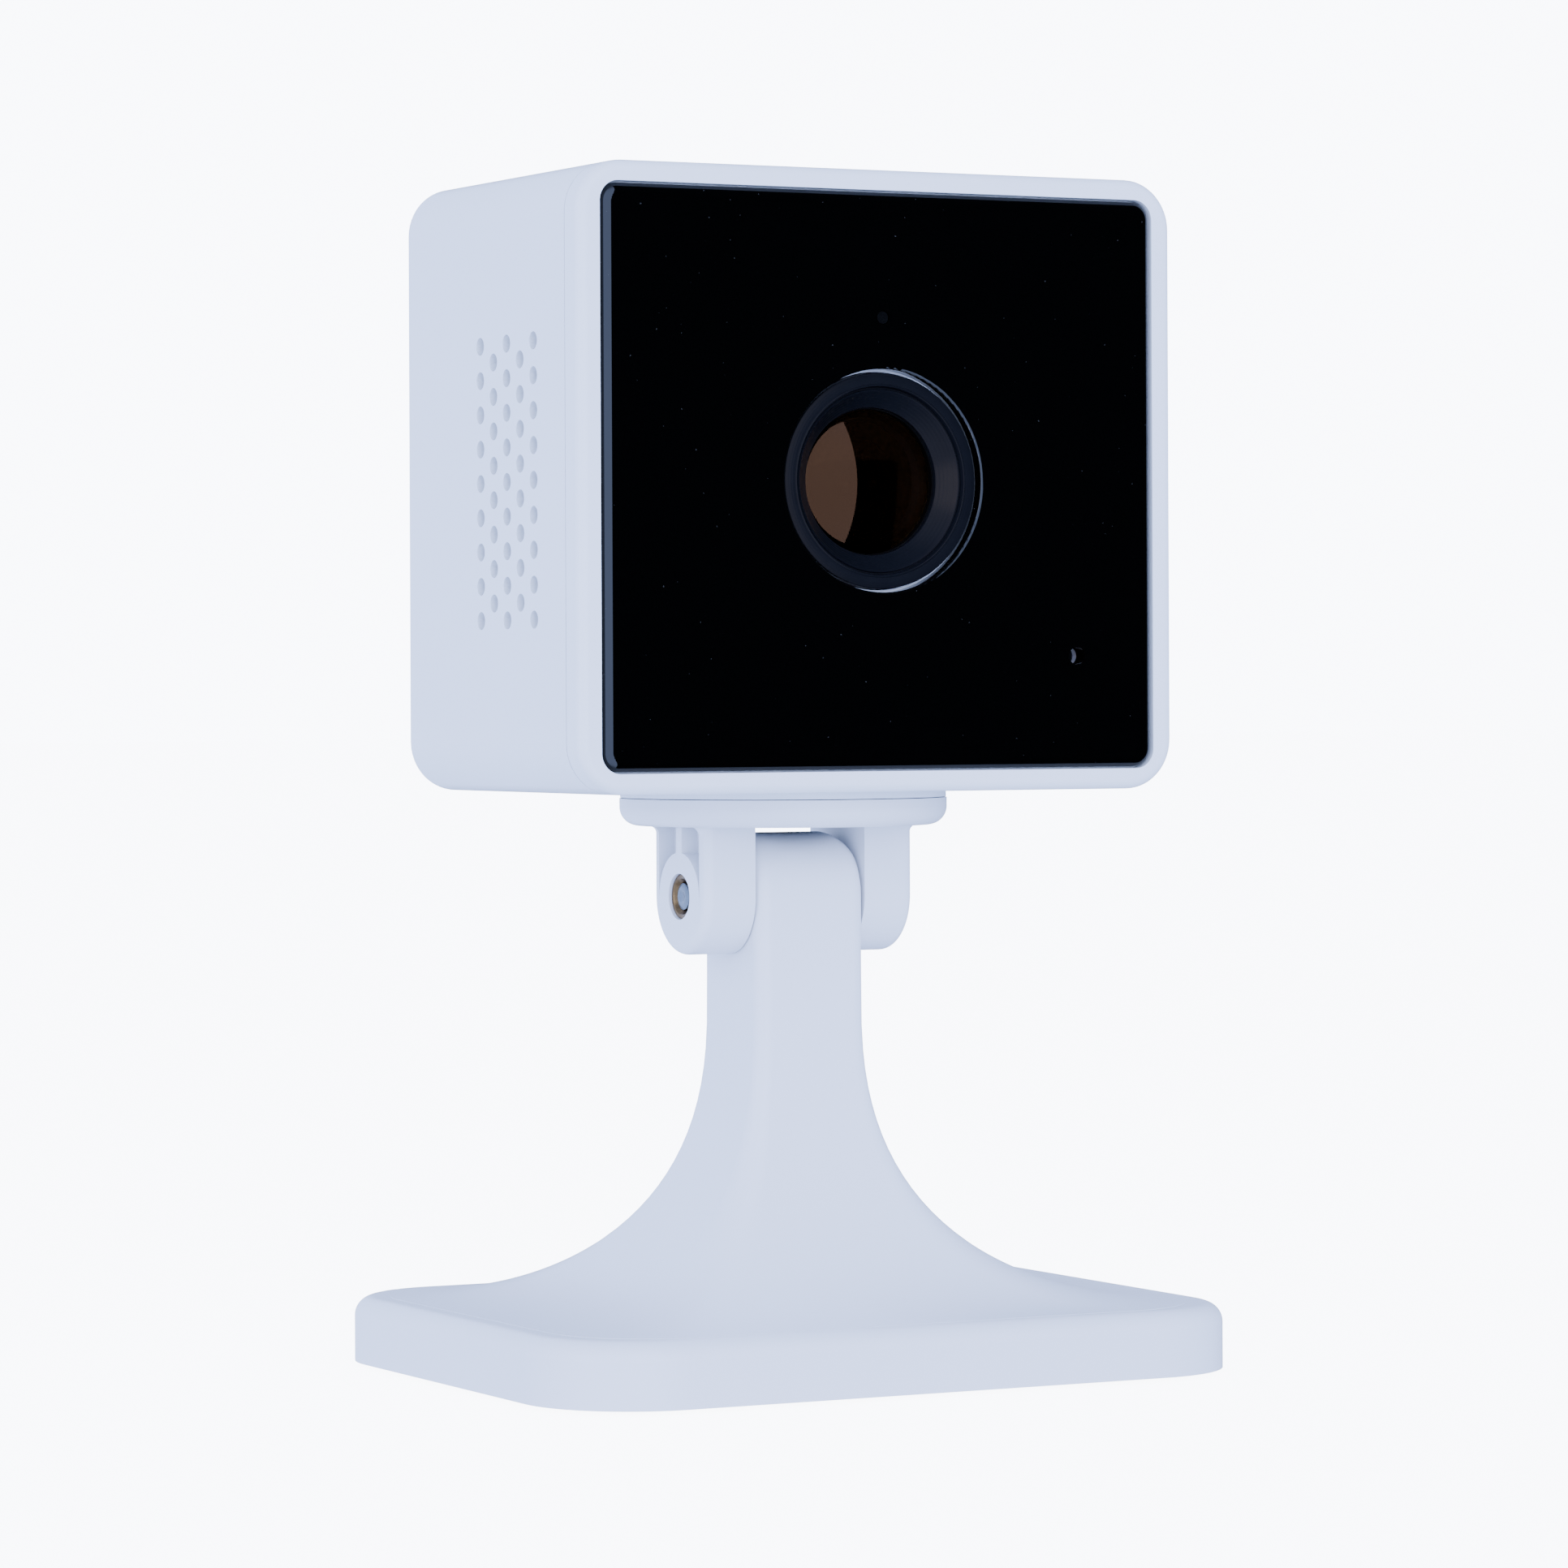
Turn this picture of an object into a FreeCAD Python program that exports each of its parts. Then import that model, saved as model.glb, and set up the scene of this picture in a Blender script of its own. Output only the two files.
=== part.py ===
"""Desk and wall security camera: a square head on a friction swivel and a flared stand.

Millimetres. +Z is up, the lens looks along -Y, and +X is to the right of someone who
faces the lens. The origin is on the surface that the feet stand on, under the pan axis.
"""
import FreeCAD, Part
import math
import os
import re

import Sketcher

Vector = FreeCAD.Vector

# --------------------------------------------------------------------------------------
# Driving dimensions: one spreadsheet row each, as name, value and what it is.
# --------------------------------------------------------------------------------------
SIZES = [
    # head casing
    ("head_wide", 60.0, "head, left to right"),
    ("head_tall", 55.35, "head, bottom to top"),
    ("head_deep", 36.4, "head, front rim to back"),
    ("head_corner", 4.5, "radius of the head's four long corners"),
    ("head_ahead", 19.45, "front rim ahead of the pan axis"),
    ("shell_wall", 2.0, "wall of the rear housing"),
    ("rear_round", 0.7, "rounding of the housing's back edge"),
    ("bezel_deep", 2.7, "front bezel, rim to seam"),
    ("bezel_round", 0.9, "rounding of the bezel's front edge"),
    ("bezel_side", 2.1, "white rim beside the panel"),
    ("bezel_lip", 1.86, "white rim above and below the panel"),
    ("tray_wall", 1.25, "bezel's back wall, behind the panel"),
    ("seam_gap", 0.12, "groove between bezel and housing"),
    ("tongue_long", 2.2, "bezel tongue inside the housing"),
    ("tongue_wall", 1.2, "thickness of that tongue"),
    ("slip", 0.1, "clearance of pieces that plug together"),
    ("panel_thick", 1.5, "glossy front panel"),
    ("panel_gap", 0.16, "gap round the panel"),
    ("panel_corner", 1.65, "corner radius of the panel"),
    ("panel_proud", 0.12, "panel in front of the rim"),
    ("panel_round", 0.9, "soft edge of the panel"),
    # closing screws and posts of the casing
    ("post_out", 24.1, "casing post, out from the lens axis"),
    ("post_up", 21.8, "casing post, up from the lens axis"),
    ("post_r", 2.6, "casing post radius"),
    ("boss_r", 3.0, "bezel screw boss radius"),
    ("boss_long", 2.5, "bezel screw boss behind the tray"),
    ("screw_head_r", 1.9, "small screw, head radius"),
    ("screw_head_high", 1.1, "small screw, head height"),
    ("screw_r", 1.0, "small screw, shank radius"),
    ("screw_gap", 0.05, "clearance round a screw shank"),
    ("loose_gap", 0.15, "clearance of a screw through a board or cover"),
    ("post_bore", 8.0, "depth of the hole in a casing post"),
    ("bezel_screw_long", 9.0, "bezel screw, head included"),
    ("board_screw_long", 5.6, "board screw, head included"),
    ("recess_long", 2.0, "screwdriver cross, length of an arm"),
    ("recess_wide", 0.55, "screwdriver cross, width of an arm"),
    # lens
    ("lens_hole_r", 9.93, "round opening in the panel"),
    ("lens_hole_round", 0.2, "soft edge of that opening"),
    ("trim_r", 9.62, "trim ring in that opening"),
    ("trim_sunk", 0.5, "front of the trim ring behind the rim"),
    ("trim_flange_r", 11.2, "trim ring flange behind the tray"),
    ("trim_flange_thick", 1.0, "trim ring flange thickness"),
    ("step_r", 8.45, "outer edge of the step in the trim ring"),
    ("throat_r", 8.05, "mouth of the cone in the trim ring"),
    ("step_deep", 0.45, "depth of that step"),
    ("glass_view_r", 6.6, "small end of the cone"),
    ("glass_sunk", 2.3, "small end of the cone behind the rim"),
    ("barrel_r", 7.0, "lens barrel, front part"),
    ("barrel_front", 2.75, "front of the barrel behind the rim"),
    ("barrel_shoulder", 9.0, "end of the barrel's wide part"),
    ("barrel_back", 20.0, "back of the barrel"),
    ("thread_r", 5.95, "lens barrel, threaded part"),
    ("front_lens_r", 6.45, "front glass"),
    ("front_lens_thick", 1.6, "front glass, at its edge"),
    ("front_lens_crown", 1.7, "front glass, height of its dome"),
    ("front_lens_sunk", 0.57, "edge of that dome inside the barrel"),
    ("inner_lens_r", 4.3, "two inner glasses"),
    ("inner_lens_thick", 2.2, "inner glass, at its edge"),
    ("middle_lens_crown", 0.9, "middle glass, height of its dome"),
    ("rear_lens_crown", 0.6, "rear glass, height of its dome"),
    ("middle_lens_at", 6.8, "middle glass behind the rim"),
    ("rear_lens_at", 14.5, "rear glass behind the rim"),
    ("stop_at", 10.8, "aperture plate behind the rim"),
    ("stop_thick", 0.3, "aperture plate"),
    ("stop_r", 1.6, "aperture"),
    ("lock_r", 8.4, "lens locking ring radius"),
    ("lock_thick", 1.6, "lens locking ring"),
    ("lock_notch_r", 0.9, "tool notch in the locking ring"),
    ("fit", 0.02, "clearance of pieces that are pressed or glued in"),
    # boards and what they carry
    ("board_at", 25.0, "main board, front face behind the rim"),
    ("board_thick", 1.2, "main board"),
    ("board_wide", 46.0, "main board width"),
    ("board_tall", 40.0, "main board height"),
    ("board_hole_out", 20.0, "main board screw, out from the lens axis"),
    ("board_hole_up", 16.5, "main board screw, up from the lens axis"),
    ("board_post_r", 2.2, "main board post radius"),
    ("led_board_at", 5.4, "lamp board, front face behind the rim"),
    ("led_board_thick", 1.0, "lamp board"),
    ("led_board_wide", 44.0, "lamp board width"),
    ("led_board_tall", 40.0, "lamp board height"),
    ("led_ring_r", 15.6, "ring of infrared lamps"),
    ("led_size", 3.2, "side of one infrared lamp"),
    ("led_high", 1.9, "height of one infrared lamp"),
    ("led_window_r", 2.4, "tray window for one lamp"),
    ("led_post_out", 19.4, "lamp board post, out from the lens axis"),
    ("led_post_up", 2.6, "lamp board post, up from the lens axis"),
    ("led_post_r", 1.9, "lamp board post radius"),
    ("led_screw_r", 0.8, "lamp board screw, shank radius"),
    ("led_screw_head_r", 1.4, "lamp board screw, head radius"),
    ("led_screw_head_high", 0.9, "lamp board screw, head height"),
    ("led_screw_long", 2.7, "lamp board screw, ahead of its head"),
    ("mark_up", 14.5, "status light above the lens"),
    ("mark_r", 0.55, "status light radius"),
    ("mic_out", 19.8, "microphone port, right of the lens"),
    ("mic_down", 15.6, "microphone port, below the lens"),
    ("mic_r", 0.8, "microphone port radius"),
    ("mic_body_r", 2.0, "microphone capsule radius"),
    ("holder_wide", 27.0, "lens holder foot width"),
    ("holder_tall", 15.0, "lens holder foot height"),
    ("holder_foot", 5.0, "lens holder foot, depth"),
    ("holder_r", 7.6, "lens holder collar radius"),
    ("holder_collar", 5.2, "lens holder collar, depth"),
    ("sensor_side", 8.0, "image sensor, side"),
    ("sensor_thick", 1.1, "image sensor, thickness"),
    ("filter_side", 6.6, "filter glass, side"),
    ("filter_thick", 0.7, "filter glass"),
    ("filter_travel", 7.5, "filter shuttle, travel"),
    ("shuttle_rim", 0.5, "filter shuttle, web round its glasses"),
    ("shuttle_thick", 1.2, "filter shuttle, thickness"),
    ("shuttle_gap", 0.15, "clearance of the shuttle in its slot"),
    ("shuttle_ahead", 3.6, "front of that slot, in front of the main board"),
    ("shuttle_floor", 0.3, "ledge that a filter glass rests on"),
    ("coil_wide", 7.0, "filter magnet coil width"),
    ("coil_tall", 3.6, "filter magnet coil height"),
    ("coil_deep", 3.2, "filter magnet coil depth"),
    # speaker and antenna
    ("grille_r", 0.8, "grille hole radius"),
    ("grille_step_y", 2.765, "grille column to column"),
    ("grille_step_z", 3.07, "grille hole to hole in one column"),
    ("grille_at", 14.75, "middle of the grille behind the rim"),
    ("grille_rows", 9, "holes in an outer grille column"),
    ("grille_columns", 5, "grille columns"),
    ("speaker_deep", 15.0, "speaker, front to back of the head"),
    ("speaker_tall", 30.0, "speaker height"),
    ("speaker_thick", 4.0, "speaker frame thickness"),
    ("speaker_magnet_r", 5.0, "speaker magnet radius"),
    ("speaker_magnet_thick", 2.0, "speaker magnet behind the frame"),
    ("mesh_thick", 0.3, "cloth behind the grille"),
    ("antenna_long", 34.0, "antenna strip length"),
    ("antenna_wide", 9.0, "antenna strip width"),
    ("antenna_thick", 0.4, "antenna strip thickness"),
    # inlets and the reset button
    ("usb_wide", 7.6, "power socket shell, width"),
    ("usb_tall", 2.9, "power socket shell, height"),
    ("usb_wall", 0.3, "power socket shell, sheet"),
    ("usb_down", 13.0, "power socket below the lens axis"),
    ("usb_sunk", 0.8, "power socket mouth inside the back face"),
    ("usb_recess", 1.6, "recess margin round the power socket"),
    ("card_wide", 12.0, "card slot, along the height of the head"),
    ("card_thick", 1.5, "card slot, opening"),
    ("card_long", 14.5, "card socket length"),
    ("card_up", 6.5, "card socket above the lens axis"),
    ("reset_out", 11.0, "reset button, right of the lens axis"),
    ("reset_r", 1.35, "reset button radius"),
    ("reset_travel", 0.4, "reset button travel"),
    ("reset_flange_r", 2.1, "reset button flange"),
    ("reset_sunk", 0.3, "reset button inside the back face"),
    ("plunger_r", 1.75, "reset button inside its switch"),
    ("switch_side", 6.0, "reset switch, side"),
    ("switch_high", 3.5, "reset switch, height"),
    ("switch_floor", 0.6, "floor of the reset switch"),
    ("running", 0.06, "radial clearance of a piece that slides or turns"),
    # swivel
    ("ear_drop", 6.4, "tilt axis below the swivel plate"),
    ("ear_r", 5.3, "round end of a swivel ear"),
    ("ear_thick", 5.1, "swivel ear, along the tilt axis"),
    ("ear_gap", 0.12, "gap between neck and ear"),
    ("ear_round", 0.9, "rounding of the ears' outer edges"),
    ("ear_rim", 1.25, "rim of the ear's pockets"),
    ("ear_pocket", 1.6, "depth of the ear's pockets"),
    ("ear_rib", 1.1, "rib between the ear's pockets"),
    ("ear_boss_r", 4.0, "round boss in the ear"),
    ("plate_r", 15.02, "swivel plate radius"),
    ("plate_thick", 2.5, "swivel plate thickness"),
    ("plate_round", 1.7, "rounding of the swivel plate's lower edge"),
    ("pan_gap", 0.07, "gap between swivel plate and head"),
    ("collar_r", 14.95, "collar under the head"),
    ("collar_high", 0.68, "collar under the head, height"),
    ("pivot_r", 3.0, "pan pivot under the head"),
    ("pivot_seat_r", 4.6, "recess for the pan washer"),
    ("pivot_seat_deep", 1.3, "depth of that recess"),
    ("pivot_boss_r", 4.4, "screw boss inside the head"),
    ("pivot_boss_high", 8.0, "screw boss inside the head, height"),
    ("pan_washer_r", 4.3, "pan washer radius"),
    ("pan_washer_thick", 0.5, "pan washer thickness"),
    ("pan_head_r", 2.4, "pan screw head radius"),
    ("pan_head_high", 1.0, "pan screw head height"),
    ("pan_screw_r", 1.3, "pan screw shank radius"),
    ("pan_screw_long", 8.0, "pan screw length"),
    ("tilt_screw_r", 1.2, "tilt screw shank radius"),
    ("tilt_head_r", 2.3, "tilt screw head radius"),
    ("tilt_head_high", 1.6, "tilt screw head height"),
    ("tilt_seat", 2.1, "depth of the seat for the tilt screw's head"),
    ("spring_washer_thick", 0.35, "spring washer under the tilt screw's head"),
    ("insert_r", 2.1, "brass insert radius"),
    ("insert_long", 4.2, "brass insert length"),
    ("insert_sunk", 0.25, "brass insert inside the boss"),
    ("tip_sunk", 0.45, "tilt screw's tip inside the boss"),
    ("pad_r", 3.4, "nylon friction washer radius"),
    ("pad_thick", 0.4, "nylon friction washer thickness"),
    ("pad_sunk", 0.32, "recess for the friction washer"),
    # stand
    ("neck_wide", 11.0, "neck, left to right"),
    ("neck_deep", 11.5, "neck, front to back"),
    ("neck_corner", 1.3, "corner radius of the neck"),
    ("neck_shoulder", 3.6, "rounded shoulder on top of the neck"),
    ("neck_crest", 0.5, "shoulder outline above the neck's barrel top"),
    ("foot_wide", 69.0, "foot, left to right"),
    ("foot_deep", 55.6, "foot, front to back"),
    ("foot_corner", 10.5, "corner radius of the foot"),
    ("foot_band", 5.9, "upright edge of the foot"),
    ("foot_round", 1.75, "rounding on top of that edge"),
    ("flare_high", 27.5, "height of the flare above the foot's edge"),
    ("neck_run", 9.54, "straight neck, from the flare to the tilt axis"),
    ("flare_power", 2.5, "fullness of the flare's curve"),
    ("flare_reach", 0.9, "share of the foot that the flare runs out to"),
    ("stand_wall", 2.2, "wall of the hollow stand"),
    ("core_top", 0.62, "height of the hollow as a share of the flare"),
    # underside
    ("bottom_thick", 1.8, "bottom cover"),
    ("foot_pad_r", 4.0, "rubber foot radius"),
    ("foot_pad_thick", 1.2, "rubber foot thickness"),
    ("foot_proud", 0.4, "rubber foot below the cover"),
    ("foot_pad_round", 0.3, "rounding of a rubber foot"),
    ("foot_pad_out", 25.3, "rubber foot, out from the middle"),
    ("foot_pad_back", 18.6, "rubber foot, back from the middle"),
    ("cover_screw_out", 27.0, "cover screw, out from the middle"),
    ("cover_screw_back", 8.5, "cover screw, back from the middle"),
    ("cover_post_r", 3.0, "post for a cover screw"),
    ("keyhole_out", 20.0, "keyhole, out from the middle"),
    ("keyhole_r", 3.3, "keyhole, radius of its round end"),
    ("keyhole_slot", 3.4, "keyhole, width of its slot"),
    ("keyhole_long", 7.0, "keyhole, centre of round end to end of slot"),
    ("cover_seat", 1.1, "depth of the seat for a cover screw's head"),
    ("cover_head_high", 1.0, "cover screw, head height"),
    ("ballast_wide", 28.0, "steel ballast, width"),
    ("ballast_deep", 38.0, "steel ballast, depth"),
    ("ballast_thick", 2.2, "steel ballast, thickness"),
]

doc = FreeCAD.newDocument("security_camera")
sheet = doc.addObject("Spreadsheet::Sheet", "Sizes")
NAMES = set()
for row, (name, number, meaning) in enumerate(SIZES, start=1):
    sheet.set(f"A{row}", meaning)
    sheet.set(f"B{row}", str(number))
    sheet.setAlias(f"B{row}", name)
    NAMES.add(name)
doc.recompute()

# Names that several pieces share, worked out from the driving dimensions.
SHARED = {
    "tilt_high": "(foot_proud + foot_band + flare_high + neck_run)",
    "plate_low": "(tilt_high + ear_drop)",
    "lens_high": "(plate_low + plate_thick + pan_gap + collar_high + head_tall / 2)",
    "ear_inner": "(neck_wide / 2 + ear_gap)",
    "ear_outer": "(neck_wide / 2 + ear_gap + ear_thick)",
    "opening_wide": "(head_wide - 2 * bezel_side)",
    "opening_tall": "(head_tall - 2 * bezel_lip)",
    "tray_front": "(panel_thick - panel_proud)",
    "tray_back": "(tray_front + tray_wall)",
    "cavity_wide": "(head_wide - 2 * shell_wall)",
    "cavity_tall": "(head_tall - 2 * shell_wall)",
    "cavity_back": "(head_deep - shell_wall)",
    "boss_back": "(tray_back + boss_long)",
    "board_back": "(board_at + board_thick)",
    "band_low": "foot_proud",
    "band_top": "(foot_proud + foot_band)",
    "cover_top": "(foot_proud + bottom_thick)",
}


def bound(text):
    """Turn a formula in plain size names into one that points at the sheet."""
    text = str(text)
    while any(word in SHARED for word in re.findall(r"[a-z_]+", text)):
        text = re.sub(r"[a-z_]+", lambda word: SHARED.get(word.group(), word.group()), text)
    return re.sub(r"[a-z_]+", lambda word: cell(word.group()), text)


def cell(word):
    """A size's cell in the sheet; any other word, such as a function, stays."""
    return "Sizes." + word if word in NAMES else word


def size(text):
    """The value of such a formula, for geometry that starts from numbers."""
    return float(sheet.evalExpression(bound(text)))


# --------------------------------------------------------------------------------------
# Outlines: each returns a function that draws itself, with its constraints, in a sketch.
# --------------------------------------------------------------------------------------
def pin_point(drawing, geometry, point, across, up):
    """Fix one sketch point at (across, up), both formulas."""
    for text, kind, axis in ((across, "DistanceX", -2), (up, "DistanceY", -1)):
        if text == "0":
            drawing.addConstraint(Sketcher.Constraint("PointOnObject", geometry, point, axis))
            continue
        index = drawing.addConstraint(
            Sketcher.Constraint(kind, -1, 1, geometry, point, size(text)))
        drawing.setExpression(f"Constraints[{index}]", bound(text))


def circle(radius, across="0", up="0"):
    """A circle about (across, up)."""
    def draw(drawing):
        middle = Vector(size(across), size(up), 0)
        edge = drawing.addGeometry(Part.Circle(middle, Vector(0, 0, 1), size(radius)))
        index = drawing.addConstraint(Sketcher.Constraint("Radius", edge, size(radius)))
        drawing.setExpression(f"Constraints[{index}]", bound(radius))
        pin_point(drawing, edge, 3, across, up)
    return draw


def polygon(*corners):
    """A closed outline with straight sides, through corners given as formulas."""
    def draw(drawing):
        points = [Vector(size(across), size(up), 0) for across, up in corners]
        first = drawing.GeometryCount
        for start, end in zip(points, points[1:] + points[:1]):
            drawing.addGeometry(Part.LineSegment(start, end))
        for step, (across, up) in enumerate(corners):
            before = first + (step - 1) % len(corners)
            drawing.addConstraint(Sketcher.Constraint("Coincident", before, 2, first + step, 1))
            pin_point(drawing, first + step, 1, across, up)
    return draw


def box(wide, high, across="0", up="0"):
    """A rectangle centred on (across, up)."""
    left, right = f"{across} - ({wide}) / 2", f"{across} + ({wide}) / 2"
    low, top = f"{up} - ({high}) / 2", f"{up} + ({high}) / 2"
    return polygon((left, low), (right, low), (right, top), (left, top))


def rounded_box(wide, high, corner, across="0", up="0"):
    """A rectangle with rounded corners, centred on (across, up)."""
    def draw(drawing):
        half_wide, half_high, radius = size(wide) / 2, size(high) / 2, size(corner)
        middle = Vector(size(across), size(up), 0)
        inset_x, inset_y = half_wide - radius, half_high - radius
        first = drawing.GeometryCount
        # Sides and corners in turn, anticlockwise from the lower side.
        turns = ((0, -1), (1, 0), (0, 1), (-1, 0))
        for quarter, (out_x, out_y) in enumerate(turns):
            along = Vector(-out_y * inset_x, out_x * inset_y, 0)
            out = Vector(out_x * half_wide, out_y * half_high, 0)
            drawing.addGeometry(Part.LineSegment(middle + out - along, middle + out + along))
            next_x, next_y = turns[(quarter + 1) % 4]
            centre = middle + Vector((out_x + next_x) * inset_x, (out_y + next_y) * inset_y, 0)
            whole = Part.Circle(centre, Vector(0, 0, 1), radius)
            start = (quarter - 1) * math.pi / 2
            drawing.addGeometry(Part.ArcOfCircle(whole, start, start + math.pi / 2))
        for side in range(0, 8, 2):
            line, arc, following = first + side, first + side + 1, first + (side + 2) % 8
            drawing.addConstraint(Sketcher.Constraint("Tangent", line, 2, arc, 1))
            drawing.addConstraint(Sketcher.Constraint("Tangent", arc, 2, following, 1))
            level = "Horizontal" if side % 4 == 0 else "Vertical"
            drawing.addConstraint(Sketcher.Constraint(level, line))
            if side:
                drawing.addConstraint(Sketcher.Constraint("Equal", first + 1, arc))
        measures = (
            ("Radius", (first + 1,), corner),
            ("DistanceX", (first + 6, 1, first + 2, 1), wide),
            ("DistanceY", (first, 1, first + 4, 1), high),
            ("DistanceX", (-1, 1, first + 2, 1), f"{across} + ({wide}) / 2"),
            ("DistanceY", (-1, 1, first + 4, 1), f"{up} + ({high}) / 2"),
        )
        for kind, ends, text in measures:
            index = drawing.addConstraint(Sketcher.Constraint(kind, *ends, size(text)))
            drawing.setExpression(f"Constraints[{index}]", bound(text))
    return draw


# --------------------------------------------------------------------------------------
# Pieces: a body of pads, pockets, revolutions and fillets, set in place by formulas.
# --------------------------------------------------------------------------------------
PIECES = []


class Piece:
    """One sub-part. Lengths run along +X, +Y or +Z from the level of the sketch."""

    def __init__(self, label, x="0", y="0", z="0", turn=None):
        self.body = doc.addObject("PartDesign::Body", label)
        self.body.Label = label
        self.body.AllowCompound = True
        if turn:
            self.body.Placement = FreeCAD.Placement(Vector(), FreeCAD.Rotation(*turn))
        for axis, place in zip("xyz", (x, y, z)):
            self.body.setExpression("Placement.Base." + axis, bound(place))
        PIECES.append(self.body)

    def sketch(self, plane, level, outlines):
        drawing = self.body.newObject("Sketcher::SketchObject", "outline")
        role = plane + "_Plane"
        support = [item for item in self.body.Origin.OriginFeatures if item.Role == role][0]
        drawing.AttachmentSupport = [(support, "")]
        drawing.MapMode = "FlatFace"
        sign = "-" if plane == "XZ" else ""
        drawing.setExpression("AttachmentOffset.Base.z", bound(f"{sign}({level})"))
        for outline in outlines:
            outline(drawing)
        return drawing

    def add(self, plane, level, length, *outlines):
        drawing = self.sketch(plane, level, outlines)
        pad = self.body.newObject("PartDesign::Pad", "pad")
        pad.Profile = drawing
        pad.setExpression("Length", bound(length))
        pad.Reversed = plane == "XZ"
        return self

    def cut(self, plane, level, length, *outlines):
        drawing = self.sketch(plane, level, outlines)
        pocket = self.body.newObject("PartDesign::Pocket", "pocket")
        pocket.Profile = drawing
        pocket.setExpression("Length", bound(length))
        pocket.Reversed = plane != "XZ"
        return self

    def spin(self, plane, *outlines):
        """Turn outlines about the sketch's upright axis: Z on XZ, Y on XY."""
        drawing = self.sketch(plane, "0", outlines)
        turned = self.body.newObject("PartDesign::Revolution", "revolution")
        turned.Profile = drawing
        turned.ReferenceAxis = (drawing, ["V_Axis"])
        turned.Angle = 360
        return self

    def round(self, radius, chosen):
        """Fillet the edges for which chosen(edge) is true."""
        doc.recompute()
        base = self.body.Tip
        names = [f"Edge{number}" for number, edge in enumerate(base.Shape.Edges, start=1)
                 if chosen(edge)]
        if not names:
            raise RuntimeError(self.body.Label + ": no edge to round")
        fillet = self.body.newObject("PartDesign::Fillet", "fillet")
        fillet.Base = (base, names)
        fillet.setExpression("Radius", bound(radius))
        return self

    def cross_recess(self, plane, level, length, places):
        """A screwdriver cross in the top of each screw in places."""
        for wide, high in (("recess_wide", "recess_long"), ("recess_long", "recess_wide")):
            self.cut(plane, level, length, *[box(wide, high, *spot) for spot in places])
        return self


def lies_at(axis, text):
    """A test for edges that lie wholly at one level along x, y or z."""
    level = size(text)

    def chosen(edge):
        spread = edge.BoundBox
        low = getattr(spread, axis.upper() + "Min")
        high = getattr(spread, axis.upper() + "Max")
        return abs(low - level) < 1e-4 and abs(high - level) < 1e-4
    return chosen


def signs(out, up):
    """The four places (+-out, +-up)."""
    return [(f"{side_x}({out})", f"{side_y}({up})")
            for side_x in ("", "-") for side_y in ("", "-")]


HEAD = {"y": "-head_ahead", "z": "lens_high"}
POSTS = signs("post_out", "post_up")
BOARD_HOLES = signs("board_hole_out", "board_hole_up")
LED_POSTS = signs("led_post_out", "led_post_up")
LED_COUNT = 8
LED_ANGLES = [360 / LED_COUNT * (number + 0.5) for number in range(LED_COUNT)]
LEDS = [(f"led_ring_r * {math.cos(math.radians(angle)):.6f}",
         f"led_ring_r * {math.sin(math.radians(angle)):.6f}") for angle in LED_ANGLES]


# --------------------------------------------------------------------------------------
# Head casing
# --------------------------------------------------------------------------------------
def grille_holes():
    """Staggered columns of round holes; every second column has one hole fewer."""
    holes = []
    columns = int(size("grille_columns"))
    for column in range(columns):
        rows = int(size("grille_rows")) - column % 2
        for row in range(rows):
            along = f"grille_at + grille_step_y * {column - (columns - 1) / 2}"
            up = f"grille_step_z * {row - (rows - 1) / 2}"
            holes.append(circle("grille_r", along, up))
    return holes


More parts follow.
